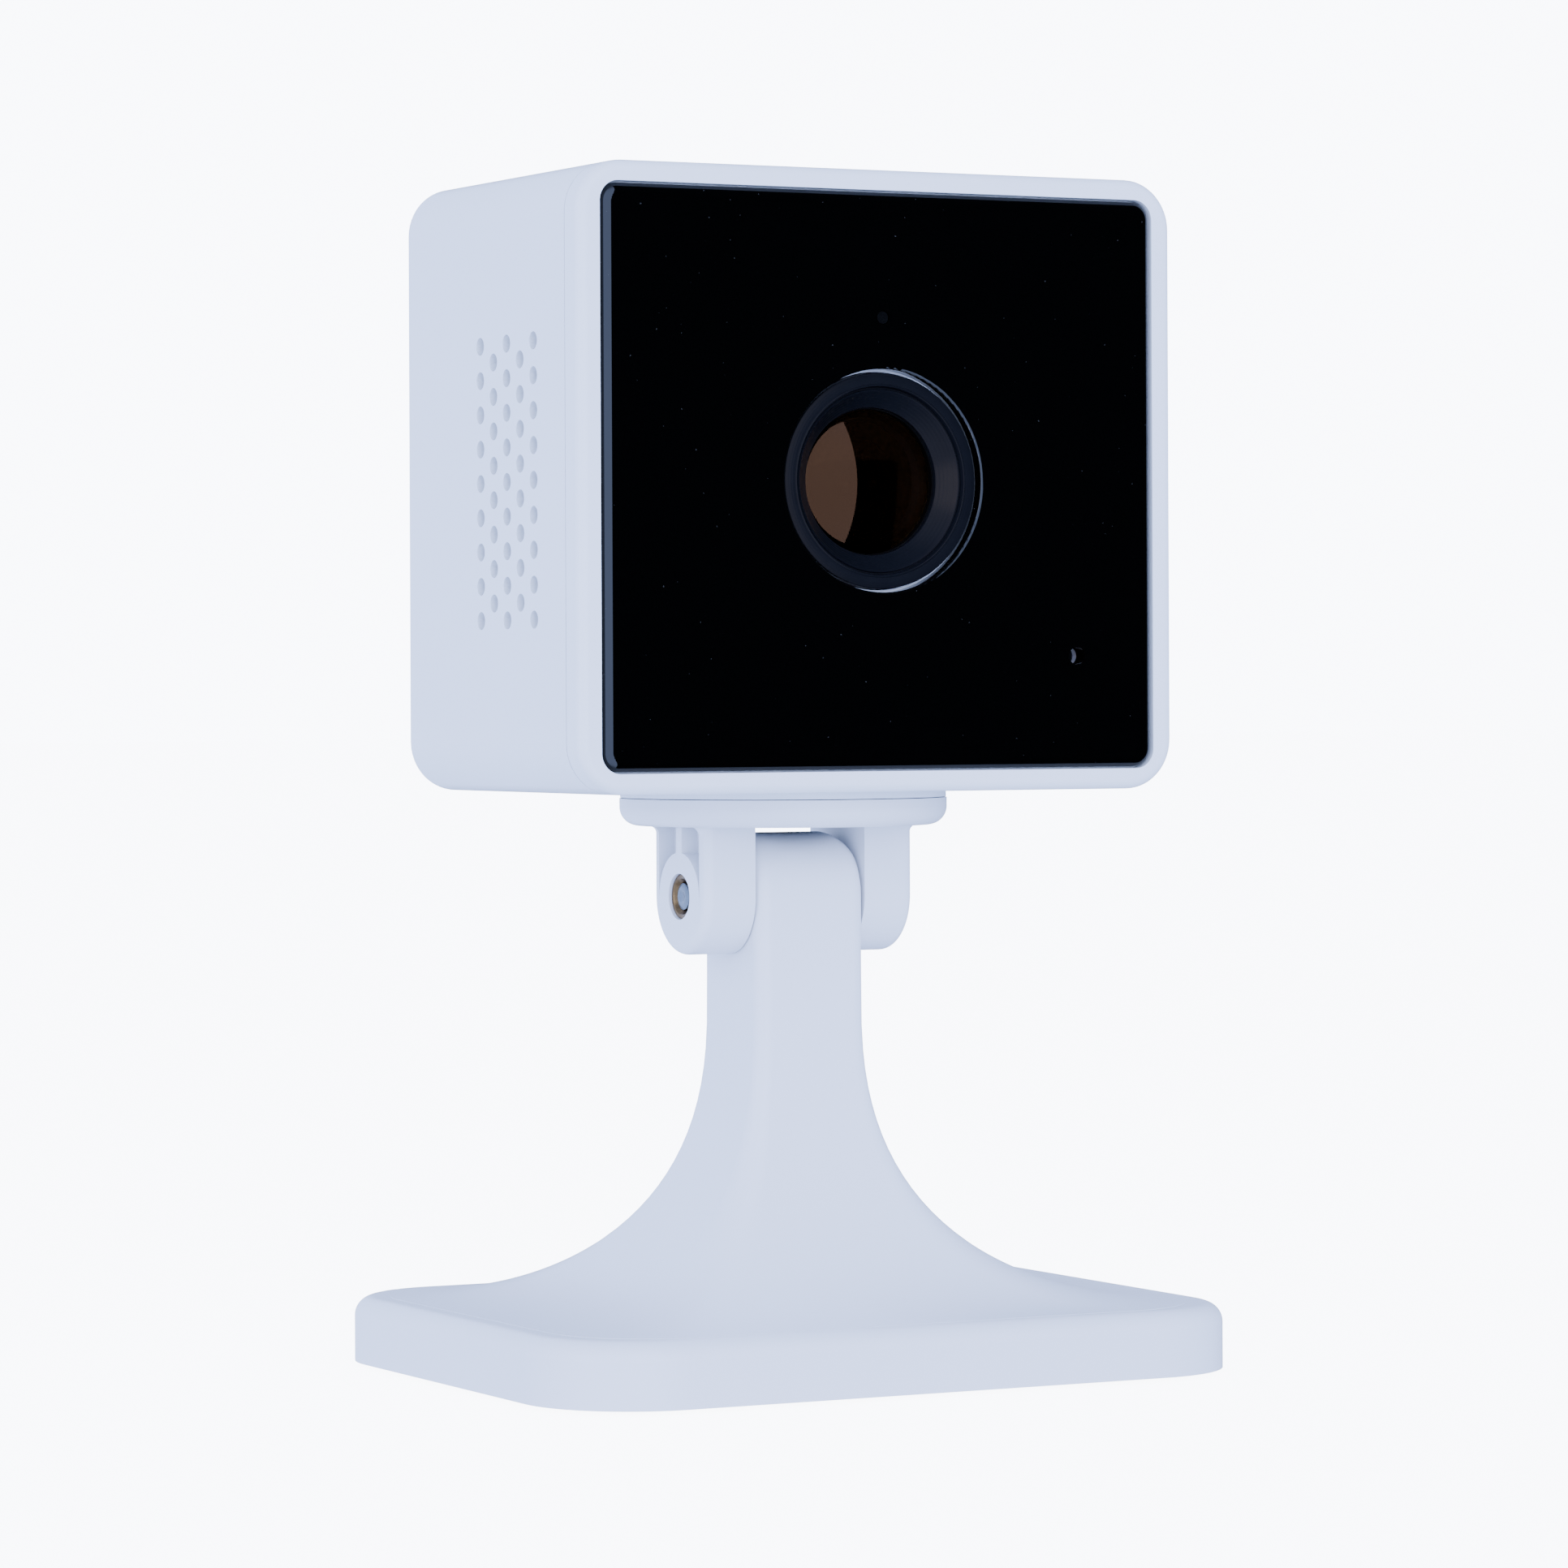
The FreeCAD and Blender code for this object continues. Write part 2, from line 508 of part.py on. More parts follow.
def rear_housing():
    """Deep box, open at the front, with posts, the speaker grille and the pan pivot."""
    front = "bezel_deep + seam_gap"
    piece = Piece("rear_housing", **HEAD)
    piece.add("XZ", front, f"head_deep - ({front})",
              rounded_box("head_wide", "head_tall", "head_corner"))
    piece.round("rear_round", lies_at("y", "head_deep"))
    piece.cut("XZ", front, "head_deep - shell_wall - bezel_deep - seam_gap",
              rounded_box("cavity_wide", "cavity_tall", "head_corner - shell_wall"))
    piece.add("XZ", "boss_back", "cavity_back - boss_back + 0.2",
              *[circle("post_r", *spot) for spot in POSTS])
    piece.cut("XZ", "boss_back", "post_bore",
              *[circle("screw_r + screw_gap", *spot) for spot in POSTS])
    piece.add("XZ", "board_back", "cavity_back - board_back + 0.2",
              *[circle("board_post_r", *spot) for spot in BOARD_HOLES])
    piece.cut("XZ", "board_back", "5",
              *[circle("screw_r + screw_gap", *spot) for spot in BOARD_HOLES])
    piece.cut("YZ", "-head_wide / 2 - 1", "shell_wall + 2", *grille_holes())
    # The pan pivot hangs below the floor, on a collar that rides on the swivel plate.
    floor = "-head_tall / 2"
    piece.add("XY", f"{floor} - collar_high", "collar_high + 0.5",
              circle("collar_r", "0", "head_ahead"))
    piece.add("XY", f"{floor} - collar_high - pan_gap - plate_thick + pivot_seat_deep - 0.05",
              "plate_thick - pivot_seat_deep + 0.05 + pan_gap + collar_high + pivot_boss_high",
              circle("pivot_r - running", "0", "head_ahead"))
    piece.add("XY", f"{floor} + 0.5", "pivot_boss_high - 0.5",
              circle("pivot_boss_r", "0", "head_ahead"))
    piece.cut("XY", f"{floor} - collar_high - plate_thick - 1", "pan_screw_long + plate_thick + 1",
              circle("pan_screw_r + screw_gap", "0", "head_ahead"))
    # Openings in the back and the right-hand side.
    piece.cut("XZ", "cavity_back - 0.5", "shell_wall + 1",
              rounded_box("usb_wide + 2 * slip", "usb_tall + 2 * slip", "1.0", "0", "-usb_down"))
    piece.cut("XZ", "head_deep - usb_sunk", "usb_sunk + 1",
              rounded_box("usb_wide + 2 * usb_recess", "usb_tall + 2 * usb_recess", "1.6",
                          "0", "-usb_down"))
    piece.cut("XZ", "cavity_back - 0.5", "shell_wall + 1",
              circle("reset_r + running", "reset_out", "-usb_down"))
    piece.cut("YZ", "head_wide / 2 - shell_wall - 0.5", "shell_wall + 1",
              box("card_thick", "card_wide + 0.6", "board_back + card_thick / 2 + 0.2", "card_up"))


def front_bezel():
    """White rim and the tray that the glossy panel is glued into."""
    piece = Piece("front_bezel", **HEAD)
    piece.add("XZ", "0", "bezel_deep", rounded_box("head_wide", "head_tall", "head_corner"))
    piece.round("bezel_round", lies_at("y", "0"))
    tongue_wide, tongue_tall = "cavity_wide - 2 * slip", "cavity_tall - 2 * slip"
    piece.add("XZ", "bezel_deep - 0.2", "tongue_long + 0.2",
              rounded_box(tongue_wide, tongue_tall, "head_corner - shell_wall - slip"))
    piece.cut("XZ", "tray_back", "bezel_deep + tongue_long",
              rounded_box(f"{tongue_wide} - 2 * tongue_wall", f"{tongue_tall} - 2 * tongue_wall",
                          "head_corner - shell_wall - slip - tongue_wall"))
    piece.cut("XZ", "-1", "tray_front + 1",
              rounded_box("opening_wide", "opening_tall", "panel_corner + panel_gap"))
    piece.add("XZ", "tray_back - 0.2", "boss_long + 0.2",
              *[circle("boss_r", *spot) for spot in POSTS])
    piece.cut("XZ", "tray_front - 0.5", "screw_head_high + 0.6 + 0.5",
              *[circle("screw_head_r + slip", *spot) for spot in POSTS])
    piece.cut("XZ", "tray_front", "boss_back",
              *[circle("screw_r + screw_gap", *spot) for spot in POSTS])
    piece.cut("XZ", "0", "tray_back + 1", circle("trim_r + slip"))
    piece.cut("XZ", "0", "tray_back + 1", *[circle("led_window_r", *spot) for spot in LEDS])
    piece.cut("XZ", "0", "tray_back + 1", circle("mark_r + slip", "0", "mark_up"),
              circle("mic_r + 0.3", "mic_out", "-mic_down"))
    piece.add("XZ", "tray_back - 0.2", "led_board_at - tray_back + 0.2",
              *[circle("led_post_r", *spot) for spot in LED_POSTS])
    piece.cut("XZ", "tray_back + 0.3", "6",
              *[circle("led_screw_r + screw_gap", *spot) for spot in LED_POSTS])


def front_panel():
    """Gloss black panel, with holes for the lens, the status light and the microphone."""
    piece = Piece("front_panel", **HEAD)
    wide, tall = "opening_wide - 2 * panel_gap", "opening_tall - 2 * panel_gap"
    piece.add("XZ", "-panel_proud", "panel_thick", rounded_box(wide, tall, "panel_corner"))
    piece.round("panel_round", lies_at("y", "-panel_proud"))
    piece.cut("XZ", "-1", "panel_thick + 2", circle("lens_hole_r"))
    piece.round("lens_hole_round", front_of_lens_hole)
    piece.cut("XZ", "-1", "panel_thick + 2", circle("mark_r + running", "0", "mark_up"),
              circle("mic_r", "mic_out", "-mic_down"))


def front_of_lens_hole(edge):
    """The front edge of the panel's round opening."""
    round_hole = abs(edge.Length - 2 * math.pi * size("lens_hole_r")) < 1e-3
    return round_hole and lies_at("y", "-panel_proud")(edge)


# --------------------------------------------------------------------------------------
# Lens
# --------------------------------------------------------------------------------------
def trim_ring():
    """Dark ring round the lens: a flat face, a small step, then a cone to the glass."""
    Piece("lens_trim_ring", **HEAD).spin("XY", polygon(
        ("trim_r", "trim_sunk"),
        ("step_r", "trim_sunk"),
        ("throat_r", "trim_sunk + step_deep"),
        ("glass_view_r", "glass_sunk"),
        ("glass_view_r", "barrel_front"),
        ("barrel_r + slip", "barrel_front"),
        ("barrel_r + slip", "tray_back + trim_flange_thick"),
        ("trim_flange_r", "tray_back + trim_flange_thick"),
        ("trim_flange_r", "tray_back"),
        ("trim_r", "tray_back"),
    ))


def lens_barrel():
    """Metal tube with a wide front, a threaded back, and seats for the glasses."""
    seat = "barrel_front + front_lens_sunk"
    Piece("lens_barrel", **HEAD).spin("XY", polygon(
        ("front_lens_r + fit", "barrel_front"),
        ("barrel_r", "barrel_front"),
        ("barrel_r", "barrel_shoulder"),
        ("thread_r", "barrel_shoulder"),
        ("thread_r", "barrel_back"),
        ("inner_lens_r + fit", "barrel_back"),
        ("inner_lens_r + fit", f"{seat} + front_lens_thick"),
        ("front_lens_r + fit", f"{seat} + front_lens_thick"),
    ))


def glass(label, radius, front, thick, crown):
    """A glass with a domed front, as part of a ball, and a flat back."""
    piece = Part.Face(dome_outline(size(radius), size(front), size(thick), size(crown)))
    solid = piece.revolve(Vector(0, 0, 0), Vector(0, 1, 0), 360)
    add_shape(label, solid, Vector(0, size("-head_ahead"), size("lens_high")))


def dome_outline(radius, front, thick, crown):
    """Half section of a domed glass: axis, arc, edge and back."""
    ball = (radius ** 2 + crown ** 2) / (2 * crown)
    half = math.asin(radius / ball) / 2
    middle = Vector(ball * math.sin(half), front + ball - ball * math.cos(half), 0)
    top, rim = Vector(0, front, 0), Vector(radius, front + crown, 0)
    back, pole = Vector(radius, front + crown + thick, 0), Vector(0, front + crown + thick, 0)
    edges = [Part.Arc(top, middle, rim).toShape(), Part.makeLine(rim, back),
             Part.makeLine(back, pole), Part.makeLine(pole, top)]
    return Part.Wire(edges)


def lens_glasses():
    """Front, middle and rear glass, and the blackened plate with the aperture."""
    glass("front_lens", "front_lens_r", "barrel_front + front_lens_sunk - front_lens_crown",
          "front_lens_thick", "front_lens_crown")
    glass("middle_lens", "inner_lens_r", "middle_lens_at", "inner_lens_thick",
          "middle_lens_crown")
    glass("rear_lens", "inner_lens_r", "rear_lens_at", "inner_lens_thick", "rear_lens_crown")
    plate = Piece("aperture_plate", **HEAD)
    plate.add("XZ", "stop_at", "stop_thick", circle("inner_lens_r"))
    plate.cut("XZ", "stop_at - 1", "stop_thick + 2", circle("stop_r"))


def lens_mount():
    """Locking ring, and the holder that stands the lens off the board."""
    foot_front = "board_at - holder_foot"
    ring = Piece("lens_lock_ring", **HEAD)
    ring_at = f"{foot_front} - holder_collar - lock_thick"
    ring.add("XZ", ring_at, "lock_thick - fit", circle("lock_r"))
    ring.cut("XZ", f"{ring_at} - 1", "lock_thick + 2", circle("thread_r + fit"))
    notches = [("lock_r", "0"), ("-lock_r", "0"), ("0", "lock_r"), ("0", "-lock_r")]
    ring.cut("XZ", f"{ring_at} - 1", "lock_thick + 2", 
             *[circle("lock_notch_r", *spot) for spot in notches])
    holder = Piece("lens_holder", **HEAD)
    holder.add("XZ", foot_front, "holder_foot", box("holder_wide", "holder_tall"))
    holder.add("XZ", f"{foot_front} - holder_collar", "holder_collar + 0.5", circle("holder_r"))
    holder.cut("XZ", ring_at, f"board_at - shuttle_ahead + 0.2 - ({ring_at})",
               circle("thread_r + fit"))
    slot_wide = "2 * (filter_side + 3 * shuttle_rim / 2 + filter_travel / 2) + 2"
    slot_deep = "shuttle_thick + 2 * shuttle_gap"
    holder.cut("XZ", "board_at - shuttle_ahead", slot_deep,
               box(slot_wide, "filter_side + 2 * shuttle_rim + 2 * shuttle_gap"))
    holder.cut("XZ", f"board_at - shuttle_ahead + {slot_deep} - 0.3", "shuttle_ahead",
               box("sensor_side + 0.6", "sensor_side + 0.6"))


def filter_shuttle():
    """Sliding frame with the day filter in front of the sensor and the clear glass beside."""
    at = "board_at - shuttle_ahead + shuttle_gap"
    frame_wide = "2 * filter_side + 3 * shuttle_rim"
    centre = "filter_travel / 2"
    spots = ("0", "filter_travel")
    frame = Piece("filter_shuttle", **HEAD)
    frame.add("XZ", at, "shuttle_thick", box(f"{frame_wide} + 0.8", "filter_side + 2 * shuttle_rim",
                                             centre))
    frame.cut("XZ", f"{at} + shuttle_floor", "shuttle_thick",
              *[box("filter_side + 2 * fit", "filter_side + 2 * fit", spot) for spot in spots])
    frame.cut("XZ", f"{at} - 1", "shuttle_thick + 2",
              *[box("filter_side - 1.4", "filter_side - 1.4", spot) for spot in spots])
    for label, spot in (("infrared_cut_glass", "0"), ("clear_glass", "filter_travel")):
        pane = Piece(label, **HEAD)
        pane.add("XZ", f"{at} + shuttle_floor + fit", "filter_thick",
                 box("filter_side", "filter_side", spot))
    coil = Piece("filter_coil", **HEAD)
    middle = "holder_tall / 2 + coil_tall / 2 + 0.2"
    coil.add("XZ", "board_at - holder_foot", "coil_deep",
             box("coil_wide", "coil_tall", "0", middle))
    coil.cut("XZ", "board_at - holder_foot + coil_deep / 4", "coil_deep / 2",
             box("coil_wide + 2", "coil_tall / 3", "0", f"{middle} + 3 * coil_tall / 8"))


# --------------------------------------------------------------------------------------
# Electronics
# --------------------------------------------------------------------------------------
def main_board():
    """Main board with round notches for the casing posts and four screw holes."""
    piece = Piece("main_board", **HEAD)
    piece.add("XZ", "board_at", "board_thick", box("board_wide", "board_tall"))
    piece.cut("XZ", "board_at - 1", "board_thick + 2",
              *[circle("post_r + 0.5", *spot) for spot in POSTS])
    piece.cut("XZ", "board_at - 1", "board_thick + 2",
              *[circle("screw_r + loose_gap", *spot) for spot in BOARD_HOLES])


def chip(label, wide, tall, high, across, up, front=False):
    """A flat package on the back of the main board, or on its front."""
    at = f"board_at - ({high})" if front else "board_back"
    return Piece(label, **HEAD).add("XZ", at, high, box(wide, tall, across, up))


def board_parts():
    """Sensor, chips, radio module and heat spreader."""
    chip("image_sensor", "sensor_side", "sensor_side", "sensor_thick", "0", "0", front=True)
    chip("processor", "13", "12", "1.4", "-3", "8")
    chip("memory_chip", "8", "10", "1.4", "-15", "8")
    radio = chip("radio_module", "13", "10", "0.8", "-13", "-7")
    radio.add("XZ", "board_back + 0.6", "1.6", box("11.5", "8.5", "-13", "-7"))
    spreader = Piece("heat_spreader", **HEAD)
    spreader.add("XZ", "board_back + 1.45", "1.2", box("23", "12", "-8", "8"))
    spreader.add("XZ", "board_back + 2.4", "3.0",
                 *[box("0.9", "12", f"-8 + ({step})", "8") for step in (-10, -6, -2, 2, 6, 10)])


def inlets():
    """Power socket, card socket, reset switch and its button."""
    usb_mouth = "head_deep - usb_sunk"
    usb = Piece("power_socket", **HEAD)
    usb.add("XZ", "board_back", f"{usb_mouth} - board_back",
            rounded_box("usb_wide", "usb_tall", "0.9", "0", "-usb_down"))
    usb.cut("XZ", f"{usb_mouth} - 5", "6",
            rounded_box("usb_wide - 2 * usb_wall", "usb_tall - 2 * usb_wall", "0.6",
                        "0", "-usb_down"))
    usb.add("XZ", f"{usb_mouth} - 5.5", "4.8", box("3.8", "0.7", "0", "-usb_down + 0.45"))
    card = Piece("card_socket", **HEAD)
    middle = "head_wide / 2 - shell_wall - 0.4 - card_long / 2"
    card.add("XZ", "board_back", "card_thick + 0.5",
             box("card_long", "card_wide + 2", middle, "card_up"))
    card.cut("YZ", "head_wide / 2 - shell_wall - 0.4 - card_long + 1", "card_long",
             box("card_thick - 0.6", "card_wide", "board_back + card_thick / 2 + 0.2", "card_up"))
    switch = Piece("reset_switch", **HEAD)
    switch.add("XZ", "board_back", "switch_high",
               box("switch_side", "switch_side", "reset_out", "-usb_down"))
    switch.cut("XZ", "board_back + switch_floor", "switch_high",
               circle("plunger_r + running", "reset_out", "-usb_down"))
    button = Piece("reset_button", **HEAD)
    inner = "board_back + switch_floor + reset_travel + slip"
    button.add("XZ", inner, f"head_deep - reset_sunk - ({inner})",
               circle("reset_r", "reset_out", "-usb_down"))
    button.add("XZ", inner, "switch_high + slip",
               circle("plunger_r", "reset_out", "-usb_down"))
    button.add("XZ", "cavity_back - 1.1", "1.0", circle("reset_flange_r", "reset_out", "-usb_down"))


def lamp_board():
    """Ring of infrared lamps round the lens, with the light sensor and status light."""
    board = Piece("lamp_board", **HEAD)
    board.add("XZ", "led_board_at", "led_board_thick",
              rounded_box("led_board_wide", "led_board_tall", "2"))
    board.cut("XZ", "led_board_at - 1", "3", circle("barrel_r + 0.6"))
    board.cut("XZ", "led_board_at - 1", "3",
              *[circle("led_screw_r + 0.2", *spot) for spot in LED_POSTS])
    board.cut("XZ", "led_board_at - 1", "3", circle("mic_body_r + slip", "mic_out", "-mic_down"))
    lamps = Piece("infrared_lamps", **HEAD)
    lamps.add("XZ", "led_board_at - led_high", "led_high",
              *[box("led_size", "led_size", *spot) for spot in LEDS])
    sensor = Piece("light_sensor", **HEAD)
    sensor.add("XZ", "led_board_at - 0.9", "0.9", box("2.0", "1.3", "0", "-mark_up"))
    pipe = Piece("status_light_pipe", **HEAD)
    pipe.add("XZ", "-panel_proud + 0.1", "led_board_at - 0.8 + panel_proud - 0.1",
             circle("mark_r", "0", "mark_up"))
    lamp = Piece("status_lamp", **HEAD)
    lamp.add("XZ", "led_board_at - 0.7", "0.7", box("1.6", "0.8", "0", "mark_up"))
    capsule = Piece("microphone", **HEAD)
    capsule.add("XZ", "led_board_at - 0.4", "2.4", circle("mic_body_r", "mic_out", "-mic_down"))
    gasket = Piece("microphone_gasket", **HEAD)
    gasket.add("XZ", "tray_back", "led_board_at - 0.4 - tray_back",
               circle("mic_body_r", "mic_out", "-mic_down"))
    gasket.cut("XZ", "0", "led_board_at", circle("mic_r", "mic_out", "-mic_down"))


def speaker():
    """Oblong speaker behind the grille, with a cloth between."""
    inner = "-head_wide / 2 + shell_wall"
    cloth = Piece("speaker_cloth", **HEAD)
    cloth.add("YZ", inner, "mesh_thick",
              rounded_box("speaker_deep", "speaker_tall", "2", "grille_at"))
    frame = Piece("speaker_frame", **HEAD)
    frame.add("YZ", f"{inner} + mesh_thick", "speaker_thick",
              rounded_box("speaker_deep", "speaker_tall", "2", "grille_at"))
    frame.cut("YZ", f"{inner} + mesh_thick - 1", "speaker_thick",
              rounded_box("speaker_deep - 2.4", "speaker_tall - 2.4", "1.4", "grille_at"))
    cone = Piece("speaker_cone", **HEAD)
    cone.add("YZ", f"{inner} + mesh_thick + 0.9", "0.4",
             rounded_box("speaker_deep - 2.6", "speaker_tall - 2.6", "1.3", "grille_at"))
    cone.add("YZ", f"{inner} + mesh_thick + 0.5", "0.6",
             rounded_box("speaker_deep - 6", "speaker_tall - 8", "3", "grille_at"))
    magnet = Piece("speaker_magnet", **HEAD)
    magnet.add("YZ", f"{inner} + mesh_thick + speaker_thick", "speaker_magnet_thick",
               circle("speaker_magnet_r", "grille_at"))


def antenna():
    """Flexible antenna strip stuck inside the top of the housing."""
    strip = Piece("antenna_strip", **HEAD)
    strip.add("XY", "cavity_tall / 2 - antenna_thick", "antenna_thick",
              rounded_box("antenna_long", "antenna_wide", "1", "0", "grille_at"))


def casing_screws():
    """Screws of the bezel, of the main board and of the lamp board."""
    groups = (
        ("bezel_screws", POSTS, "tray_front + 0.5", "bezel_screw_long"),
        ("board_screws", BOARD_HOLES, "board_at - screw_head_high", "board_screw_long"),
    )
    for label, spots, level, long in groups:
        piece = Piece(label, **HEAD)
        piece.add("XZ", level, "screw_head_high", *[circle("screw_head_r", *spot) for spot in spots])
        piece.add("XZ", level, long, *[circle("screw_r", *spot) for spot in spots])
        piece.cross_recess("XZ", f"{level} - 0.5", "1.1", spots)
    # The lamp board's screws are driven from behind, forwards into the bezel.
    piece = Piece("lamp_board_screws", **HEAD)
    back = "led_board_at + led_board_thick"
    piece.add("XZ", back, "led_screw_head_high",
              *[circle("led_screw_head_r", *spot) for spot in LED_POSTS])
    piece.add("XZ", f"{back} - led_screw_long", "led_screw_long + 0.1",
              *[circle("led_screw_r", *spot) for spot in LED_POSTS])
    piece.cross_recess("XZ", f"{back} + led_screw_head_high / 2", "1", LED_POSTS)


# --------------------------------------------------------------------------------------
# Swivel: a round plate under the head and two ears that straddle the neck
# --------------------------------------------------------------------------------------
def swivel_clevis():
    """Plate and ears in one moulding. Its frame is on the tilt axis, +X along it."""
    piece = Piece("swivel_clevis", z="tilt_high")
    piece.add("XY", "ear_drop", "plate_thick", circle("plate_r"))
    piece.round("plate_round", lies_at("z", "ear_drop"))
    tall = "ear_drop + 0.4"
    for start in ("ear_inner", "-(ear_outer)"):
        piece.add("YZ", start, "ear_thick", circle("ear_r"))
        piece.add("YZ", start, "ear_thick", box("2 * ear_r", tall, "0", f"({tall}) / 2"))
    piece.round("ear_round", ear_edges)
    pocket_wide, pocket_tall = "2 * (ear_r - ear_rim)", "ear_drop - fit"
    sides = (("ear_outer - ear_pocket", "ear_outer - ear_pocket"),
             ("-(ear_outer)", "-(ear_outer) - 1"))
    for start, cut_start in sides:
        piece.cut("YZ", cut_start, "ear_pocket + 1",
                  box(pocket_wide, pocket_tall, "0", f"({pocket_tall}) / 2"))
        piece.add("YZ", start, "ear_pocket", circle("ear_boss_r"))
        piece.add("YZ", start, "ear_pocket",
                  box("ear_rib", "ear_drop + 0.2", "0", "(ear_drop + 0.2) / 2"))
    # Through hole; a seat for the head on the right, the brass insert on the left.
    piece.cut("YZ", "0", "ear_outer + 1", circle("tilt_screw_r + screw_gap"))
    piece.cut("YZ", "ear_outer - tilt_seat", "tilt_seat + 1", circle("tilt_head_r + slip"))
    piece.cut("YZ", "-(ear_outer) - 1", "1 + insert_sunk + insert_long", circle("insert_r"))
    piece.cut("YZ", "-(ear_outer)", "ear_thick + 1", circle("tilt_screw_r + screw_gap"))
    # The pan pivot's bore, and the seat of its washer, open from below.
    piece.cut("XY", "ear_drop - 1", "plate_thick + 2", circle("pivot_r"))
    piece.cut("XY", "ear_drop - 1", "pivot_seat_deep + 1", circle("pivot_seat_r"))


def ear_edges(edge):
    """Outer edges of the ears' round ends and sides, below the plate."""
    spread = edge.BoundBox
    outside = min(abs(spread.XMin), abs(spread.XMax))
    flat = spread.XMax - spread.XMin < 1e-4
    return flat and abs(outside - size("ear_outer")) < 1e-4 and spread.ZMax < size("ear_drop + 0.1")


def swivel_hardware():
    """Tilt screw with its insert and washers, and the pan screw with its washer."""
    seat = "ear_outer - tilt_seat"
    tip = "-(ear_outer) + tip_sunk"
    head_at = f"{seat} + spring_washer_thick"
    screw = Piece("tilt_screw", z="tilt_high")
    screw.add("YZ", tip, f"{head_at} + 0.2 + (ear_outer - tip_sunk)", circle("tilt_screw_r"))
    screw.add("YZ", head_at, "tilt_head_high", circle("tilt_head_r"))
    screw.cross_recess("YZ", f"{head_at} + 0.7", "tilt_head_high", [("0", "0")])
    spring = Piece("tilt_spring_washer", z="tilt_high")
    spring.add("YZ", seat, "spring_washer_thick", circle("tilt_head_r"))
    spring.cut("YZ", f"{seat} - 1", "3", circle("tilt_screw_r + screw_gap"))
    insert = Piece("tilt_insert", z="tilt_high")
    insert.add("YZ", "-(ear_outer) + insert_sunk", "insert_long - fit", circle("insert_r - fit"))
    insert.cut("YZ", "-(ear_outer)", "insert_long + 1", circle("tilt_screw_r + fit"))
    pan_washer = Piece("pan_washer")
    level = "plate_low + pivot_seat_deep - 0.05 - pan_washer_thick"
    pan_washer.add("XY", level, "pan_washer_thick", circle("pan_washer_r"))
    pan_washer.cut("XY", f"{level} - 1", "3", circle("pan_screw_r + screw_gap"))
    pan_screw = Piece("pan_screw")
    pan_screw.add("XY", f"{level} - pan_head_high", "pan_head_high", circle("pan_head_r"))
    pan_screw.add("XY", f"{level} - 0.2", "pan_screw_long", circle("pan_screw_r"))
    pan_screw.cross_recess("XY", f"{level} - pan_head_high - 0.5", "1.1", [("0", "0")])


# --------------------------------------------------------------------------------------
# Stand
# --------------------------------------------------------------------------------------
def add_shape(label, shape, place=None):
    """A sub-part whose shape is worked out directly."""
    item = doc.addObject("Part::Feature", label)
    item.Label = label
    item.Shape = shape
    item.Placement = FreeCAD.Placement(place or Vector(), FreeCAD.Rotation())
    PIECES.append(item)
    return item


def rounded_wire(half_wide, half_deep, corner, height):
    """A level rounded rectangle about the Z axis, as lines and arcs."""
    inset_x, inset_y = half_wide - corner, half_deep - corner
    edges = []
    turns = ((0, -1), (1, 0), (0, 1), (-1, 0))
    slant = math.sqrt(0.5) * corner
    for quarter, (out_x, out_y) in enumerate(turns):
        along = Vector(-out_y * inset_x, out_x * inset_y, 0)
        out = Vector(out_x * half_wide, out_y * half_deep, height)
        edges.append(Part.makeLine(out - along, out + along))
        next_x, next_y = turns[(quarter + 1) % 4]
        side_x, side_y = out_x + next_x, out_y + next_y
        centre = Vector(side_x * inset_x, side_y * inset_y, height)
        next_along = Vector(-next_y * inset_x, next_x * inset_y, 0)
        next_out = Vector(next_x * half_wide, next_y * half_deep, height)
        knee = centre + Vector(side_x * slant, side_y * slant, 0)
        edges.append(Part.Arc(out + along, knee, next_out - next_along).toShape())
    return Part.Wire(edges)


def flare(inset, low, top):
    """Solid of the stand's flare, drawn in by inset, between two turns of its curve.

    The curve is a concave quarter of a superellipse. A turn of 0 degrees is where the
    neck runs straight up, and one of 90 degrees is where it lies flat on the foot.
    """
    power = 2 / size("flare_power")
    steps = 14
    sections = []
    for step in range(steps + 1):
        turn = math.radians(low + (top - low) * step / steps)
        spread = 1 - max(math.cos(turn), 0) ** power
        drop = max(math.sin(turn), 0) ** power
        height = size("band_top") + size("flare_high") * (1 - drop) - inset
        wide = size("neck_wide") + (size("foot_wide") - size("neck_wide")) * spread
        deep = size("neck_deep") + (size("foot_deep") - size("neck_deep")) * spread
        corner = size("neck_corner") + (size("foot_corner") - size("neck_corner")) * spread
        corner = max(corner - inset, 0.4)
        sections.append(rounded_wire(wide / 2 - inset, deep / 2 - inset, corner, height))
    return sections


def prism(wire, length):
    """Solid between a flat outline and its copy one length away."""
    return Part.Face(wire).extrude(length)


